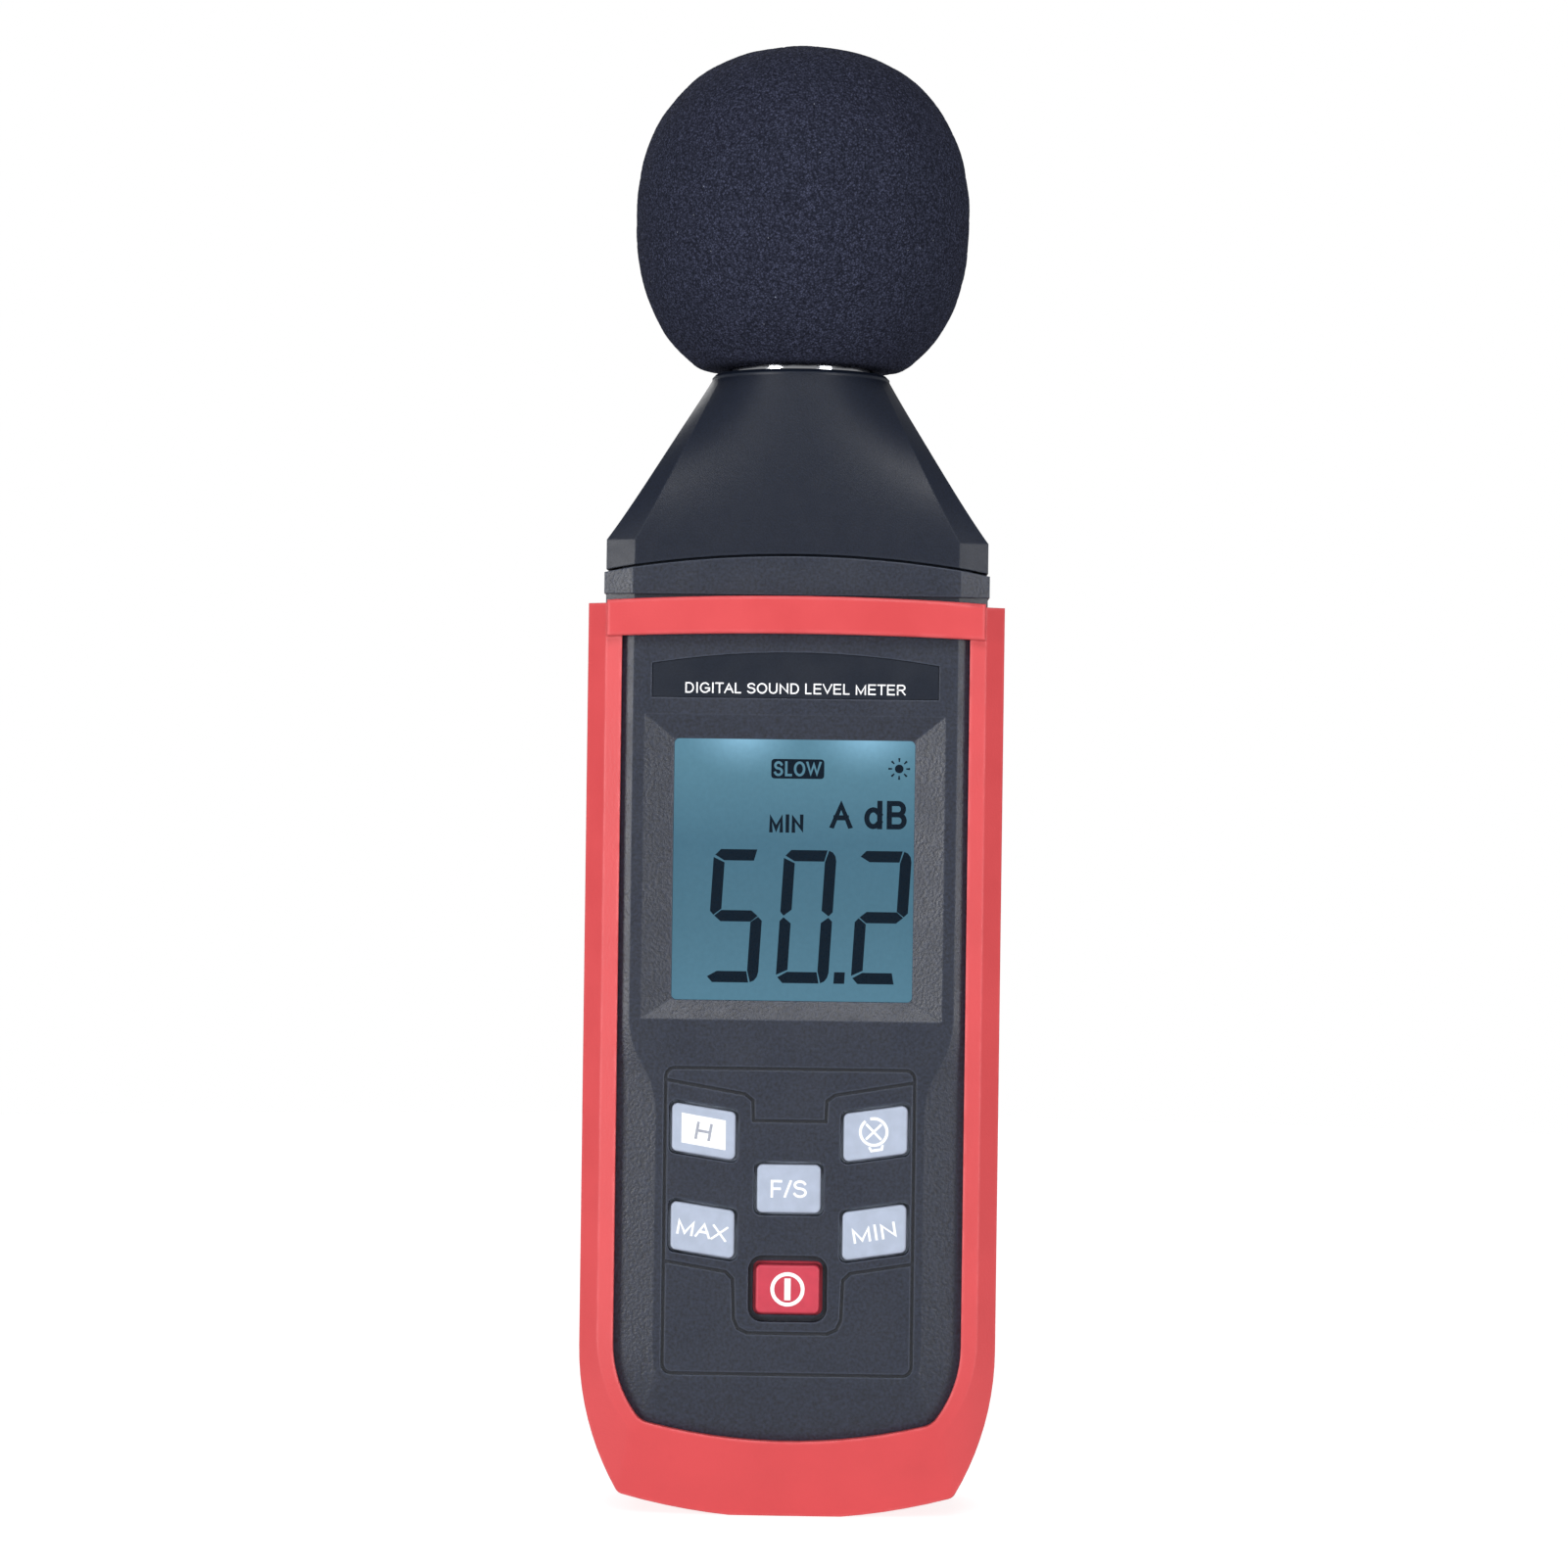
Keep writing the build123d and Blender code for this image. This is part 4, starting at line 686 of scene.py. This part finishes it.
def build_foam(finish):
    """The foam ball, turned from its profile, with its pores pressed into the skin."""
    rows = foam_rows()
    points = [(0.0, 0.0, FOAM_CENTRE)]
    for radius, height, shown in rows:
        for segment in range(FOAM_SEGMENTS):
            turn = math.tau * segment / FOAM_SEGMENTS
            place = Vector((radius * math.cos(turn), radius * math.sin(turn), height))
            if shown:
                inward = Vector((-place.x, -place.y, FOAM_CENTRE - height)).normalized()
                place += inward * pore_depth(place) * shown
            points.append(tuple(place))
    top = FOAM_CENTRE + FOAM_UPPER - FOAM_SWELL_DEPTH
    points.append((0.0, 0.0, top))
    faces = []
    for segment in range(FOAM_SEGMENTS):
        following = (segment + 1) % FOAM_SEGMENTS
        faces.append((0, 1 + segment, 1 + following))
        for row in range(len(rows) - 1):
            base = 1 + row * FOAM_SEGMENTS
            above = base + FOAM_SEGMENTS
            faces.append((base + following, base + segment, above + segment, above + following))
        last = 1 + (len(rows) - 1) * FOAM_SEGMENTS
        faces.append((last + following, last + segment, len(points) - 1))
    mesh = bpy.data.meshes.new("foam_ball")
    mesh.from_pydata([(x * MM, y * MM, z * MM) for x, y, z in points], [], faces)
    mesh.polygons.foreach_set("use_smooth", [True] * len(mesh.polygons))
    mesh.validate()
    shape = bmesh.new()
    shape.from_mesh(mesh)
    bmesh.ops.recalc_face_normals(shape, faces=shape.faces)
    shape.to_mesh(mesh)
    shape.free()
    mesh.materials.append(finish)
    ball = bpy.data.objects.new("foam_ball", mesh)
    bpy.context.scene.collection.objects.link(ball)
    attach(ball, "windscreen")
    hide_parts("windscreen")


# ------------------------------------------------------------------ flat raised shapes
MITRE_LIMIT = 0.3  # keeps the corners of sharp letters from reaching too far


class Relief:
    """Thin raised shapes, faces about in one plane, reaching back by a depth into the piece below."""

    def __init__(self, plane, depth, facing=-1):
        self.plane = plane
        self.depth = depth
        self.facing = facing
        self.lift = 0.0
        self.shape = bmesh.new()

    def corner(self, point, depth):
        """A vertex at a place in the plane, that far behind it."""
        across, up = point
        place = (-self.facing * across * MM, (self.plane - self.facing * depth) * MM, up * MM)
        return self.shape.verts.new(place)

    def polygon(self, outline):
        """A solid from one closed outline."""
        self.lift += RELIEF_STEP
        near = [self.corner(point, -self.lift) for point in outline]
        far = [self.corner(point, self.depth) for point in outline]
        self.shape.faces.new(near)
        self.shape.faces.new(reversed(far))
        for index in range(len(outline)):
            self.shape.faces.new((near[index - 1], near[index], far[index], far[index - 1]))

    def stroke(self, line, width, foot=-math.inf, top=math.inf):
        """A stroke along a line of points, mitred at its corners and cut off level at a foot and a top.

        It closes if it ends where it starts; otherwise its ends reach on by half its width.
        """
        self.lift += RELIEF_STEP
        points = [Vector(point) for point in line]
        closed = (points[0] - points[-1]).length < 1e-6
        if closed:
            points.pop()
        steps = [(after - before).normalized() for before, after in zip(points, points[1:] + points[:1])]
        stations = []
        if not closed:
            points[0] = points[0] - steps[0] * width / 2
            points[-1] = points[-1] + steps[-2] * width / 2
        for index, point in enumerate(points):
            into = steps[index - 1] if closed or index else steps[0]
            out = steps[index] if closed or index < len(points) - 1 else into
            along = (into + out).normalized()
            side = Vector((-along.y, along.x)) * (width / 2 / max(MITRE_LIMIT, along.dot(out)))
            near, far = [(spot.x, min(max(spot.y, foot), top)) for spot in (point - side, point + side)]
            stations.append([self.corner(near, -self.lift), self.corner(far, -self.lift),
                             self.corner(far, self.depth), self.corner(near, self.depth)])
        pairs = list(zip(stations, stations[1:]))
        if closed:
            pairs.append((stations[-1], stations[0]))
        else:
            self.shape.faces.new(stations[0])
            self.shape.faces.new(reversed(stations[-1]))
        for before, after in pairs:
            for index in range(4):
                self.shape.faces.new((before[index - 1], before[index], after[index], after[index - 1]))

    def piece(self, name, body, finish, turn=0.0, about=(0.0, 0.0)):
        """Ends the relief as an object that rides on a body, turned in its plane by some degrees."""
        bmesh.ops.recalc_face_normals(self.shape, faces=self.shape.faces)
        mesh = bpy.data.meshes.new(name)
        self.shape.to_mesh(mesh)
        self.shape.free()
        return fixed_piece(name, mesh, body, finish, turn, about)


def fixed_piece(name, mesh, body, finish, turn, about):
    """An object for a mesh, turned in the XZ plane about a point by some degrees, riding on a body."""
    angle = math.radians(turn)
    centre_x, centre_z = about[0] * MM, about[1] * MM
    for vertex in mesh.vertices:
        x, z = vertex.co.x - centre_x, vertex.co.z - centre_z
        vertex.co.x = centre_x + x * math.cos(angle) - z * math.sin(angle)
        vertex.co.z = centre_z + x * math.sin(angle) + z * math.cos(angle)
    mesh.materials.append(finish)
    piece = bpy.data.objects.new(name, mesh)
    bpy.context.scene.collection.objects.link(piece)
    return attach(piece, body)


def bow(centre, reach, start, end, steps=8):
    """Points round part of an ellipse, by degrees anticlockwise from the right."""
    turns = [math.radians(start + (end - start) * step / steps) for step in range(steps + 1)]
    return [(centre[0] + reach[0] * math.cos(turn), centre[1] + reach[1] * math.sin(turn)) for turn in turns]


LETTERS = {  # character: advance and side bearing in cap heights, then strokes in a box from (0, 0) to (1, 1)
    " ": (0.39, 0.1, []),
    "/": (0.46, 0.0, [[(0, 0), (1, 1)]]),
    "A": (0.93, 0.01, [[(0, 0), (0.5, 1), (1, 0)], [(0.2, 0.36), (0.8, 0.36)]]),
    "B": (0.93, 0.1, [[(0, 0), (0, 1), (0.6, 1), *bow((0.6, 0.76), (0.34, 0.24), 75, -90), (0, 0.52)],
                      [(0, 0), (0.62, 0), *bow((0.62, 0.26), (0.38, 0.26), -75, 90), (0.1, 0.52)]]),
    "D": (1.01, 0.1, [[(0, 0), (0, 1), (0.45, 1), *bow((0.45, 0.5), (0.55, 0.5), 75, -75, 12),
                       (0.45, 0), (0, 0)]]),
    "E": (0.93, 0.1, [[(1, 1), (0, 1), (0, 0), (1, 0)], [(0.05, 0.52), (0.92, 0.52)]]),
    "F": (0.85, 0.1, [[(1, 1), (0, 1), (0, 0)], [(0.05, 0.5), (0.88, 0.5)]]),
    "G": (1.09, 0.06, [[*bow((0.5, 0.5), (0.5, 0.5), 42, 318, 18), (1, 0.2), (1, 0.46), (0.58, 0.46)]]),
    "H": (1.01, 0.1, [[(0, 0), (0, 1)], [(1, 0), (1, 1)], [(0.05, 0.5), (0.95, 0.5)]]),
    "I": (0.39, 0.13, [[(0.5, 0), (0.5, 1)]]),
    "L": (0.78, 0.09, [[(0, 1), (0, 0), (1, 0)]]),
    "M": (1.16, 0.1, [[(0, 0), (0, 1), (0.5, 0.04), (1, 1), (1, 0)]]),
    "N": (1.01, 0.1, [[(0, 0), (0, 1), (1, 0), (1, 1)]]),
    "O": (1.09, 0.06, [bow((0.5, 0.5), (0.5, 0.5), 0, 360, 28)]),
    "R": (1.01, 0.1, [[(0, 0), (0, 1), (0.58, 1), *bow((0.58, 0.74), (0.4, 0.26), 75, -75),
                       (0.55, 0.48), (0.05, 0.48)],
                      [(0.55, 0.44), (1, 0)]]),
    "S": (0.93, 0.07, [[*bow((0.5, 0.76), (0.46, 0.24), 20, 240, 10),
                        *bow((0.5, 0.26), (0.5, 0.26), 75, -160, 12)]]),
    "T": (0.85, 0.03, [[(0, 1), (1, 1)], [(0.5, 0.95), (0.5, 0)]]),
    "U": (1.01, 0.1, [[(0, 1), (0, 0.35), *bow((0.5, 0.35), (0.5, 0.35), 195, 345, 10), (1, 0.35), (1, 1)]]),
    "V": (0.93, 0.01, [[(0, 1), (0.5, 0), (1, 1)]]),
    "W": (1.32, 0.01, [[(0, 1), (0.26, 0), (0.5, 0.96), (0.74, 0), (1, 1)]]),
    "X": (0.93, 0.01, [[(0, 0), (1, 1)], [(0, 1), (1, 0)]]),
    "d": (0.78, 0.06, [[(1, 1), (1, 0)],
                       [(1, 0.2), *bow((0.5, 0.36), (0.5, 0.36), -40, -320, 16), (1, 0.52)]]),
}


def lettering(name, words, body, finish, box, plane, weight, depth=LEGEND_DEPTH, facing=-1, turn=0.0):
    """Raised letters with strokes of a weight, fitted to a box and turned about its centre."""
    left, right, foot, top = box
    advances = [LETTERS[letter][0] for letter in words]
    spare = LETTERS[words[0]][1] + LETTERS[words[-1]][1]
    scale = (right - left) / (sum(advances) - spare)
    start = left - LETTERS[words[0]][1] * scale
    shape = Relief(plane, depth, facing)
    for letter, advance in zip(words, advances):
        bearing, strokes = LETTERS[letter][1:]
        low = start + bearing * scale + weight / 2
        high = start + (advance - bearing) * scale - weight / 2
        base, rise = foot + weight / 2, top - foot - weight
        for stroke in strokes:
            line = [(low + (high - low) * x, base + rise * y) for x, y in stroke]
            shape.stroke(line, weight, foot, top)
        start += advance * scale
    return shape.piece(name, body, finish, turn, ((left + right) / 2, (foot + top) / 2))


# ------------------------------------------------------------------ display figures
def segment_outlines():
    """Outlines of the upper four of a digit's segments, upright, from the digit's lower left corner."""
    width, height, stroke, gap = DIGIT_WIDTH, DIGIT_HEIGHT, DIGIT_STROKE, DIGIT_GAP
    waist = height / 2
    return {
        "top": [(0.2, height - 0.8), (0.95, height), (width - 1.3, height),
                (width - 1.66, height - stroke), (1.5, height - stroke)],
        "upper_left": [(0.0, height - 1.12), (stroke, height - stroke - 0.28), (stroke, waist + 0.95),
                       (0.5, waist + gap), (0.0, waist + 0.65)],
        "upper_right": [(width - 1.08, height - 0.04), (width - 0.55, height - 0.28),
                        (width - 0.16, height - 0.8), (width, height - 1.5), (width, waist + 0.65),
                        (width - 0.55, waist + gap), (width - stroke, waist + 0.85),
                        (width - stroke, height - stroke - 0.12)],
        "middle": [(0.62, waist), (1.55, waist + stroke / 2), (width - 1.55, waist + stroke / 2),
                   (width - 0.62, waist), (width - 1.55, waist - stroke / 2), (1.55, waist - stroke / 2)],
    }


def digit_outlines(digit):
    """The outlines of a digit's lit segments; the lower ones mirror the upper ones."""
    upper = segment_outlines()
    mirrored = {"bottom": "top", "lower_left": "upper_left", "lower_right": "upper_right"}
    for segment in DIGIT_SEGMENTS[digit]:
        if segment in upper:
            yield upper[segment]
        else:
            yield [(across, DIGIT_HEIGHT - up) for across, up in reversed(upper[mirrored[segment]])]


def leaned(outline, left):
    """An outline moved to its place on the display and leaned to the right."""
    return [(left + across + up * DIGIT_LEAN, DIGIT_BASE + up) for across, up in outline]


def build_reading(ink):
    """The three large digits and the decimal point."""
    for index, digit in enumerate(READING):
        figure = Relief(INK_FRONT, INK_DEPTH)
        for outline in digit_outlines(digit):
            figure.polygon(leaned(outline, DIGIT_LEFT[index]))
        figure.piece(f"lcd_digit_{index + 1}", "meter", ink)
    left, right, foot, top = POINT_BOX
    point = Relief(INK_FRONT, INK_DEPTH)
    point.polygon([(left, foot), (right, foot), (right + 0.08, top), (left + 0.08, top)])
    point.piece("lcd_point", "meter", ink)


def build_backlight_mark(ink):
    """The little sun that says the backlight is on."""
    centre = Vector(SUN_CENTRE)
    mark = Relief(INK_FRONT, INK_DEPTH)
    turns = [math.tau * step / SUN_CORNERS for step in range(SUN_CORNERS)]
    mark.polygon([(centre.x + SUN_RADIUS * math.cos(turn), centre.y + SUN_RADIUS * math.sin(turn))
                  for turn in turns])
    for ray in range(SUN_RAYS):
        turn = math.tau * ray / SUN_RAYS
        along = Vector((math.cos(turn), math.sin(turn)))
        side = Vector((-along.y, along.x))
        inner, outer = [centre + along * reach for reach in RAY_REACH]
        narrow, wide = [side * half for half in RAY_HALF_WIDTH]
        mark.polygon([tuple(inner - narrow), tuple(outer - wide), tuple(outer + wide), tuple(inner + narrow)])
    mark.piece("lcd_sun", "meter", ink)


def rounded_box(box, radius):
    """Outline of a box with round corners."""
    left, right, foot, top = box
    points = []
    for x, z, start in ((right - radius, foot + radius, 270), (right - radius, top - radius, 0),
                        (left + radius, top - radius, 90), (left + radius, foot + radius, 180)):
        for step in range(5):
            turn = math.radians(start + 22.5 * step)
            points.append((x + radius * math.cos(turn), z + radius * math.sin(turn)))
    return points


def build_display(made, ink):
    """Everything the display shows."""
    build_reading(ink)
    build_backlight_mark(ink)
    field = Relief(INK_FRONT, INK_DEPTH)
    field.polygon(rounded_box(SLOW_FIELD, SLOW_FIELD_CORNER))
    field.piece("lcd_slow_field", "meter", ink)
    lettering("lcd_slow", "SLOW", "meter", made["lcd_cell"], SLOW_BOX, INK_FRONT - INK_RAISE, 0.34, depth=0.04)
    lettering("lcd_min", "MIN", "meter", ink, MIN_BOX, INK_FRONT, 0.5, depth=INK_DEPTH)
    lettering("lcd_weighting", "A", "meter", ink, WEIGHTING_BOX, INK_FRONT, 0.7, depth=INK_DEPTH)
    lettering("lcd_decibel", "dB", "meter", ink, DECIBEL_BOX, INK_FRONT, 0.72, depth=INK_DEPTH)


# ------------------------------------------------------------------ legends
def build_hold_legend(white, grey):
    """White field with a grey H."""
    x, z = KEY_CENTRES["hold_key"]
    half_width, half_height = HOLD_FIELD_HALF
    drop = half_width * math.tan(math.radians(LEGEND_TURN))
    field = Relief(LEGEND_FRONT, LEGEND_DEPTH)
    field.polygon([(x - half_width, z - half_height + drop), (x + half_width, z - half_height - drop),
                   (x + half_width, z + half_height - drop), (x - half_width, z + half_height + drop)])
    field.piece("hold_field", "hold_key", white)
    across, up = HOLD_LETTER_HALF
    lettering("hold_letter", "H", "hold_key", grey, (x - across, x + across, z - up, z + up),
              LEGEND_FRONT - INK_RAISE, HOLD_LETTER_WEIGHT, turn=-LEGEND_TURN)


def cross_outline(centre):
    """A four-armed cross."""
    hub, outline = Vector(centre), []
    for quarter in range(4):
        turn = math.radians(CROSS_TURN + 90 * quarter)
        along = Vector((math.cos(turn), math.sin(turn)))
        side = Vector((-along.y, along.x)) * CROSS_HALF_WIDTH
        outline += [hub + along * CROSS_REACH - side, hub + along * CROSS_REACH + side,
                    hub + along * CROSS_HALF_WIDTH + side]
    return [tuple(point) for point in outline]


def bulb_cap_outline(centre):
    """The open-topped cap under the bulb."""
    x, top, foot = centre[0], centre[1] - 1.98, centre[1] - 2.72
    right = [(0.85, foot), (1.1, top), (0.75, top), (0.6, foot + 0.36)]
    left = [(-across, up) for across, up in reversed(right)]
    return [(x + across, up) for across, up in left[-1:] + right + left[:-1]]


def build_lamp_legend(white):
    """A lamp bulb: a ring open at the upper left, a cross inside it, and a cap below."""
    x, z = KEY_CENTRES["backlight_key"]
    centre = (x + BULB_OFFSET[0], z + BULB_OFFSET[1])
    legend = Relief(LEGEND_FRONT, LEGEND_DEPTH)
    legend.stroke(bow(centre, (BULB_RADIUS, BULB_RADIUS), BULB_GAP[1] - 360, BULB_GAP[0], 40), BULB_WEIGHT)
    legend.polygon(cross_outline(centre))
    legend.polygon(bulb_cap_outline(centre))
    legend.piece("backlight_legend", "backlight_key", white, turn=LEGEND_TURN, about=(x, z))


def build_power_legend(white):
    """A ring with an upright bar."""
    x, z = KEY_CENTRES["power_key"]
    legend = Relief(LEGEND_FRONT, LEGEND_DEPTH)
    legend.stroke(bow((x, z), (POWER_RADIUS, POWER_RADIUS), 0, 360, 64), POWER_WEIGHT)
    legend.stroke([(x, z - POWER_BAR_HALF), (x, z + POWER_BAR_HALF)], POWER_BAR_WEIGHT)
    legend.piece("power_legend", "power_key", white)


def build_word_legend(key, words, half_width, cap, turn, white):
    """A word in the middle of a key."""
    x, z = KEY_CENTRES[key]
    box = (x - half_width, x + half_width, z - cap / 2, z + cap / 2)
    lettering(key.replace("_key", "_legend"), words, key, white, box, LEGEND_FRONT, LEGEND_WEIGHT,
              turn=turn)


def build_legends():
    """Everything printed on the keys, the name inlay and the back label."""
    white, grey = legend_white(), legend_grey()
    build_hold_legend(white, grey)
    build_lamp_legend(white)
    build_power_legend(white)
    build_word_legend("fast_slow_key", "F/S", 2.5, 2.44, 0.0, white)
    build_word_legend("max_key", "MAX", 3.5, 2.2, -LEGEND_TURN, white)
    build_word_legend("min_key", "MIN", 3.0, 2.2, LEGEND_TURN, white)
    lettering("title_words", "DIGITAL SOUND LEVEL METER", "meter", white, TITLE_BOX, TITLE_FRONT, TITLE_WEIGHT)


def build_label_print(ink):
    """Plain print on the back label: a border, ruled lines and the kind of instrument."""
    border = Relief(LABEL_FACE, LABEL_DEPTH, facing=1)
    border.stroke([(-LABEL_HALF, LABEL_FOOT), (LABEL_HALF, LABEL_FOOT), (LABEL_HALF, LABEL_TOP),
                   (-LABEL_HALF, LABEL_TOP), (-LABEL_HALF, LABEL_FOOT)], LABEL_LINE)
    reach = LABEL_HALF - LABEL_RULE_INSET
    for height in LABEL_RULES:
        border.stroke([(-reach, height), (reach, height)], LABEL_LINE)
    border.piece("label_border", "meter", ink)
    lettering("label_name", "SOUND LEVEL METER", "meter", ink, LABEL_NAME_BOX, LABEL_FACE, LABEL_NAME_WEIGHT,
              depth=LABEL_DEPTH, facing=1)


# ------------------------------------------------------------------ studio
def build_camera():
    """Level with the middle of the object, a little to its right, and rolled so that its top leans right."""
    data = bpy.data.cameras.new("camera")
    data.sensor_width = SENSOR
    data.lens = SENSOR * CAMERA_DISTANCE / FRAME_WIDTH
    data.clip_start, data.clip_end = 0.01, 100.0
    data.dof.use_dof = False
    camera = bpy.data.objects.new("camera", data)
    yaw = math.radians(CAMERA_YAW)
    back = Vector((math.sin(yaw), -math.cos(yaw), 0.0))
    camera.location = (Vector(CAMERA_AIM) + back * CAMERA_DISTANCE) * MM
    camera.rotation_mode = "QUATERNION"
    roll = Quaternion((0.0, 0.0, 1.0), math.radians(CAMERA_ROLL))
    camera.rotation_quaternion = (-back).to_track_quat("-Z", "Y") @ roll
    bpy.context.scene.collection.objects.link(camera)
    bpy.context.scene.camera = camera


def build_lights():
    """Square soft boxes round the object."""
    for name, (place, aim, size, watts) in LIGHTS.items():
        data = bpy.data.lights.new(name, "AREA")
        data.size = size * MM
        data.energy = watts
        lamp = bpy.data.objects.new(name, data)
        lamp.location = Vector(place) * MM
        lamp.rotation_mode = "QUATERNION"
        lamp.rotation_quaternion = (Vector(aim) - Vector(place)).to_track_quat("-Z", "Y")
        lamp.visible_camera = False
        bpy.context.scene.collection.objects.link(lamp)


def build_sky():
    """White surroundings: full white to the eye, and dimmer as a light."""
    world = bpy.data.worlds.new("studio")
    world.use_nodes = True
    nodes, links = world.node_tree.nodes, world.node_tree.links
    seen = nodes.new("ShaderNodeLightPath").outputs["Is Camera Ray"]
    level = nodes.new("ShaderNodeMapRange")
    level.inputs["To Min"].default_value = SKY
    level.inputs["To Max"].default_value = BACKDROP_WHITE
    links.new(seen, level.inputs["Value"])
    background = nodes["Background"]
    background.inputs["Color"].default_value = (1.0, 1.0, 1.0, 1.0)
    links.new(level.outputs["Result"], background.inputs["Strength"])
    bpy.context.scene.world = world


def build_floor():
    """Plain round floor under the foot: it glows more to the eye than it lights the object."""
    turns = [math.tau * step / FLOOR_CORNERS for step in range(FLOOR_CORNERS)]
    rim = [(FLOOR_RADIUS * MM * math.cos(turn), FLOOR_RADIUS * MM * math.sin(turn), 0.0) for turn in turns]
    mesh = bpy.data.meshes.new("floor")
    mesh.from_pydata(rim, [], [tuple(range(FLOOR_CORNERS))])
    finish = Finish("floor", (152, 152, 152), 0.7, Specular_IOR_Level=0.1)
    finish.set("Emission Color", (1.0, 1.0, 1.0, 1.0))
    seen = finish.add("LightPath", {}, output="Is Camera Ray")
    finish.set("Emission Strength", finish.remap(seen, 0.0, 1.0, FLOOR_LIGHT, FLOOR_GLOW))
    mesh.materials.append(finish.material)
    floor = bpy.data.objects.new("floor", mesh)
    bpy.context.scene.collection.objects.link(floor)


bpy.context.scene.view_settings.view_transform = "Standard"
build_camera()
build_sky()
build_lights()
build_floor()
finishes = paint_nodes()
build_foam(finishes["foam"])
dark_ink = lcd_ink()
build_display(finishes, dark_ink)
build_legends()
build_label_print(dark_ink)
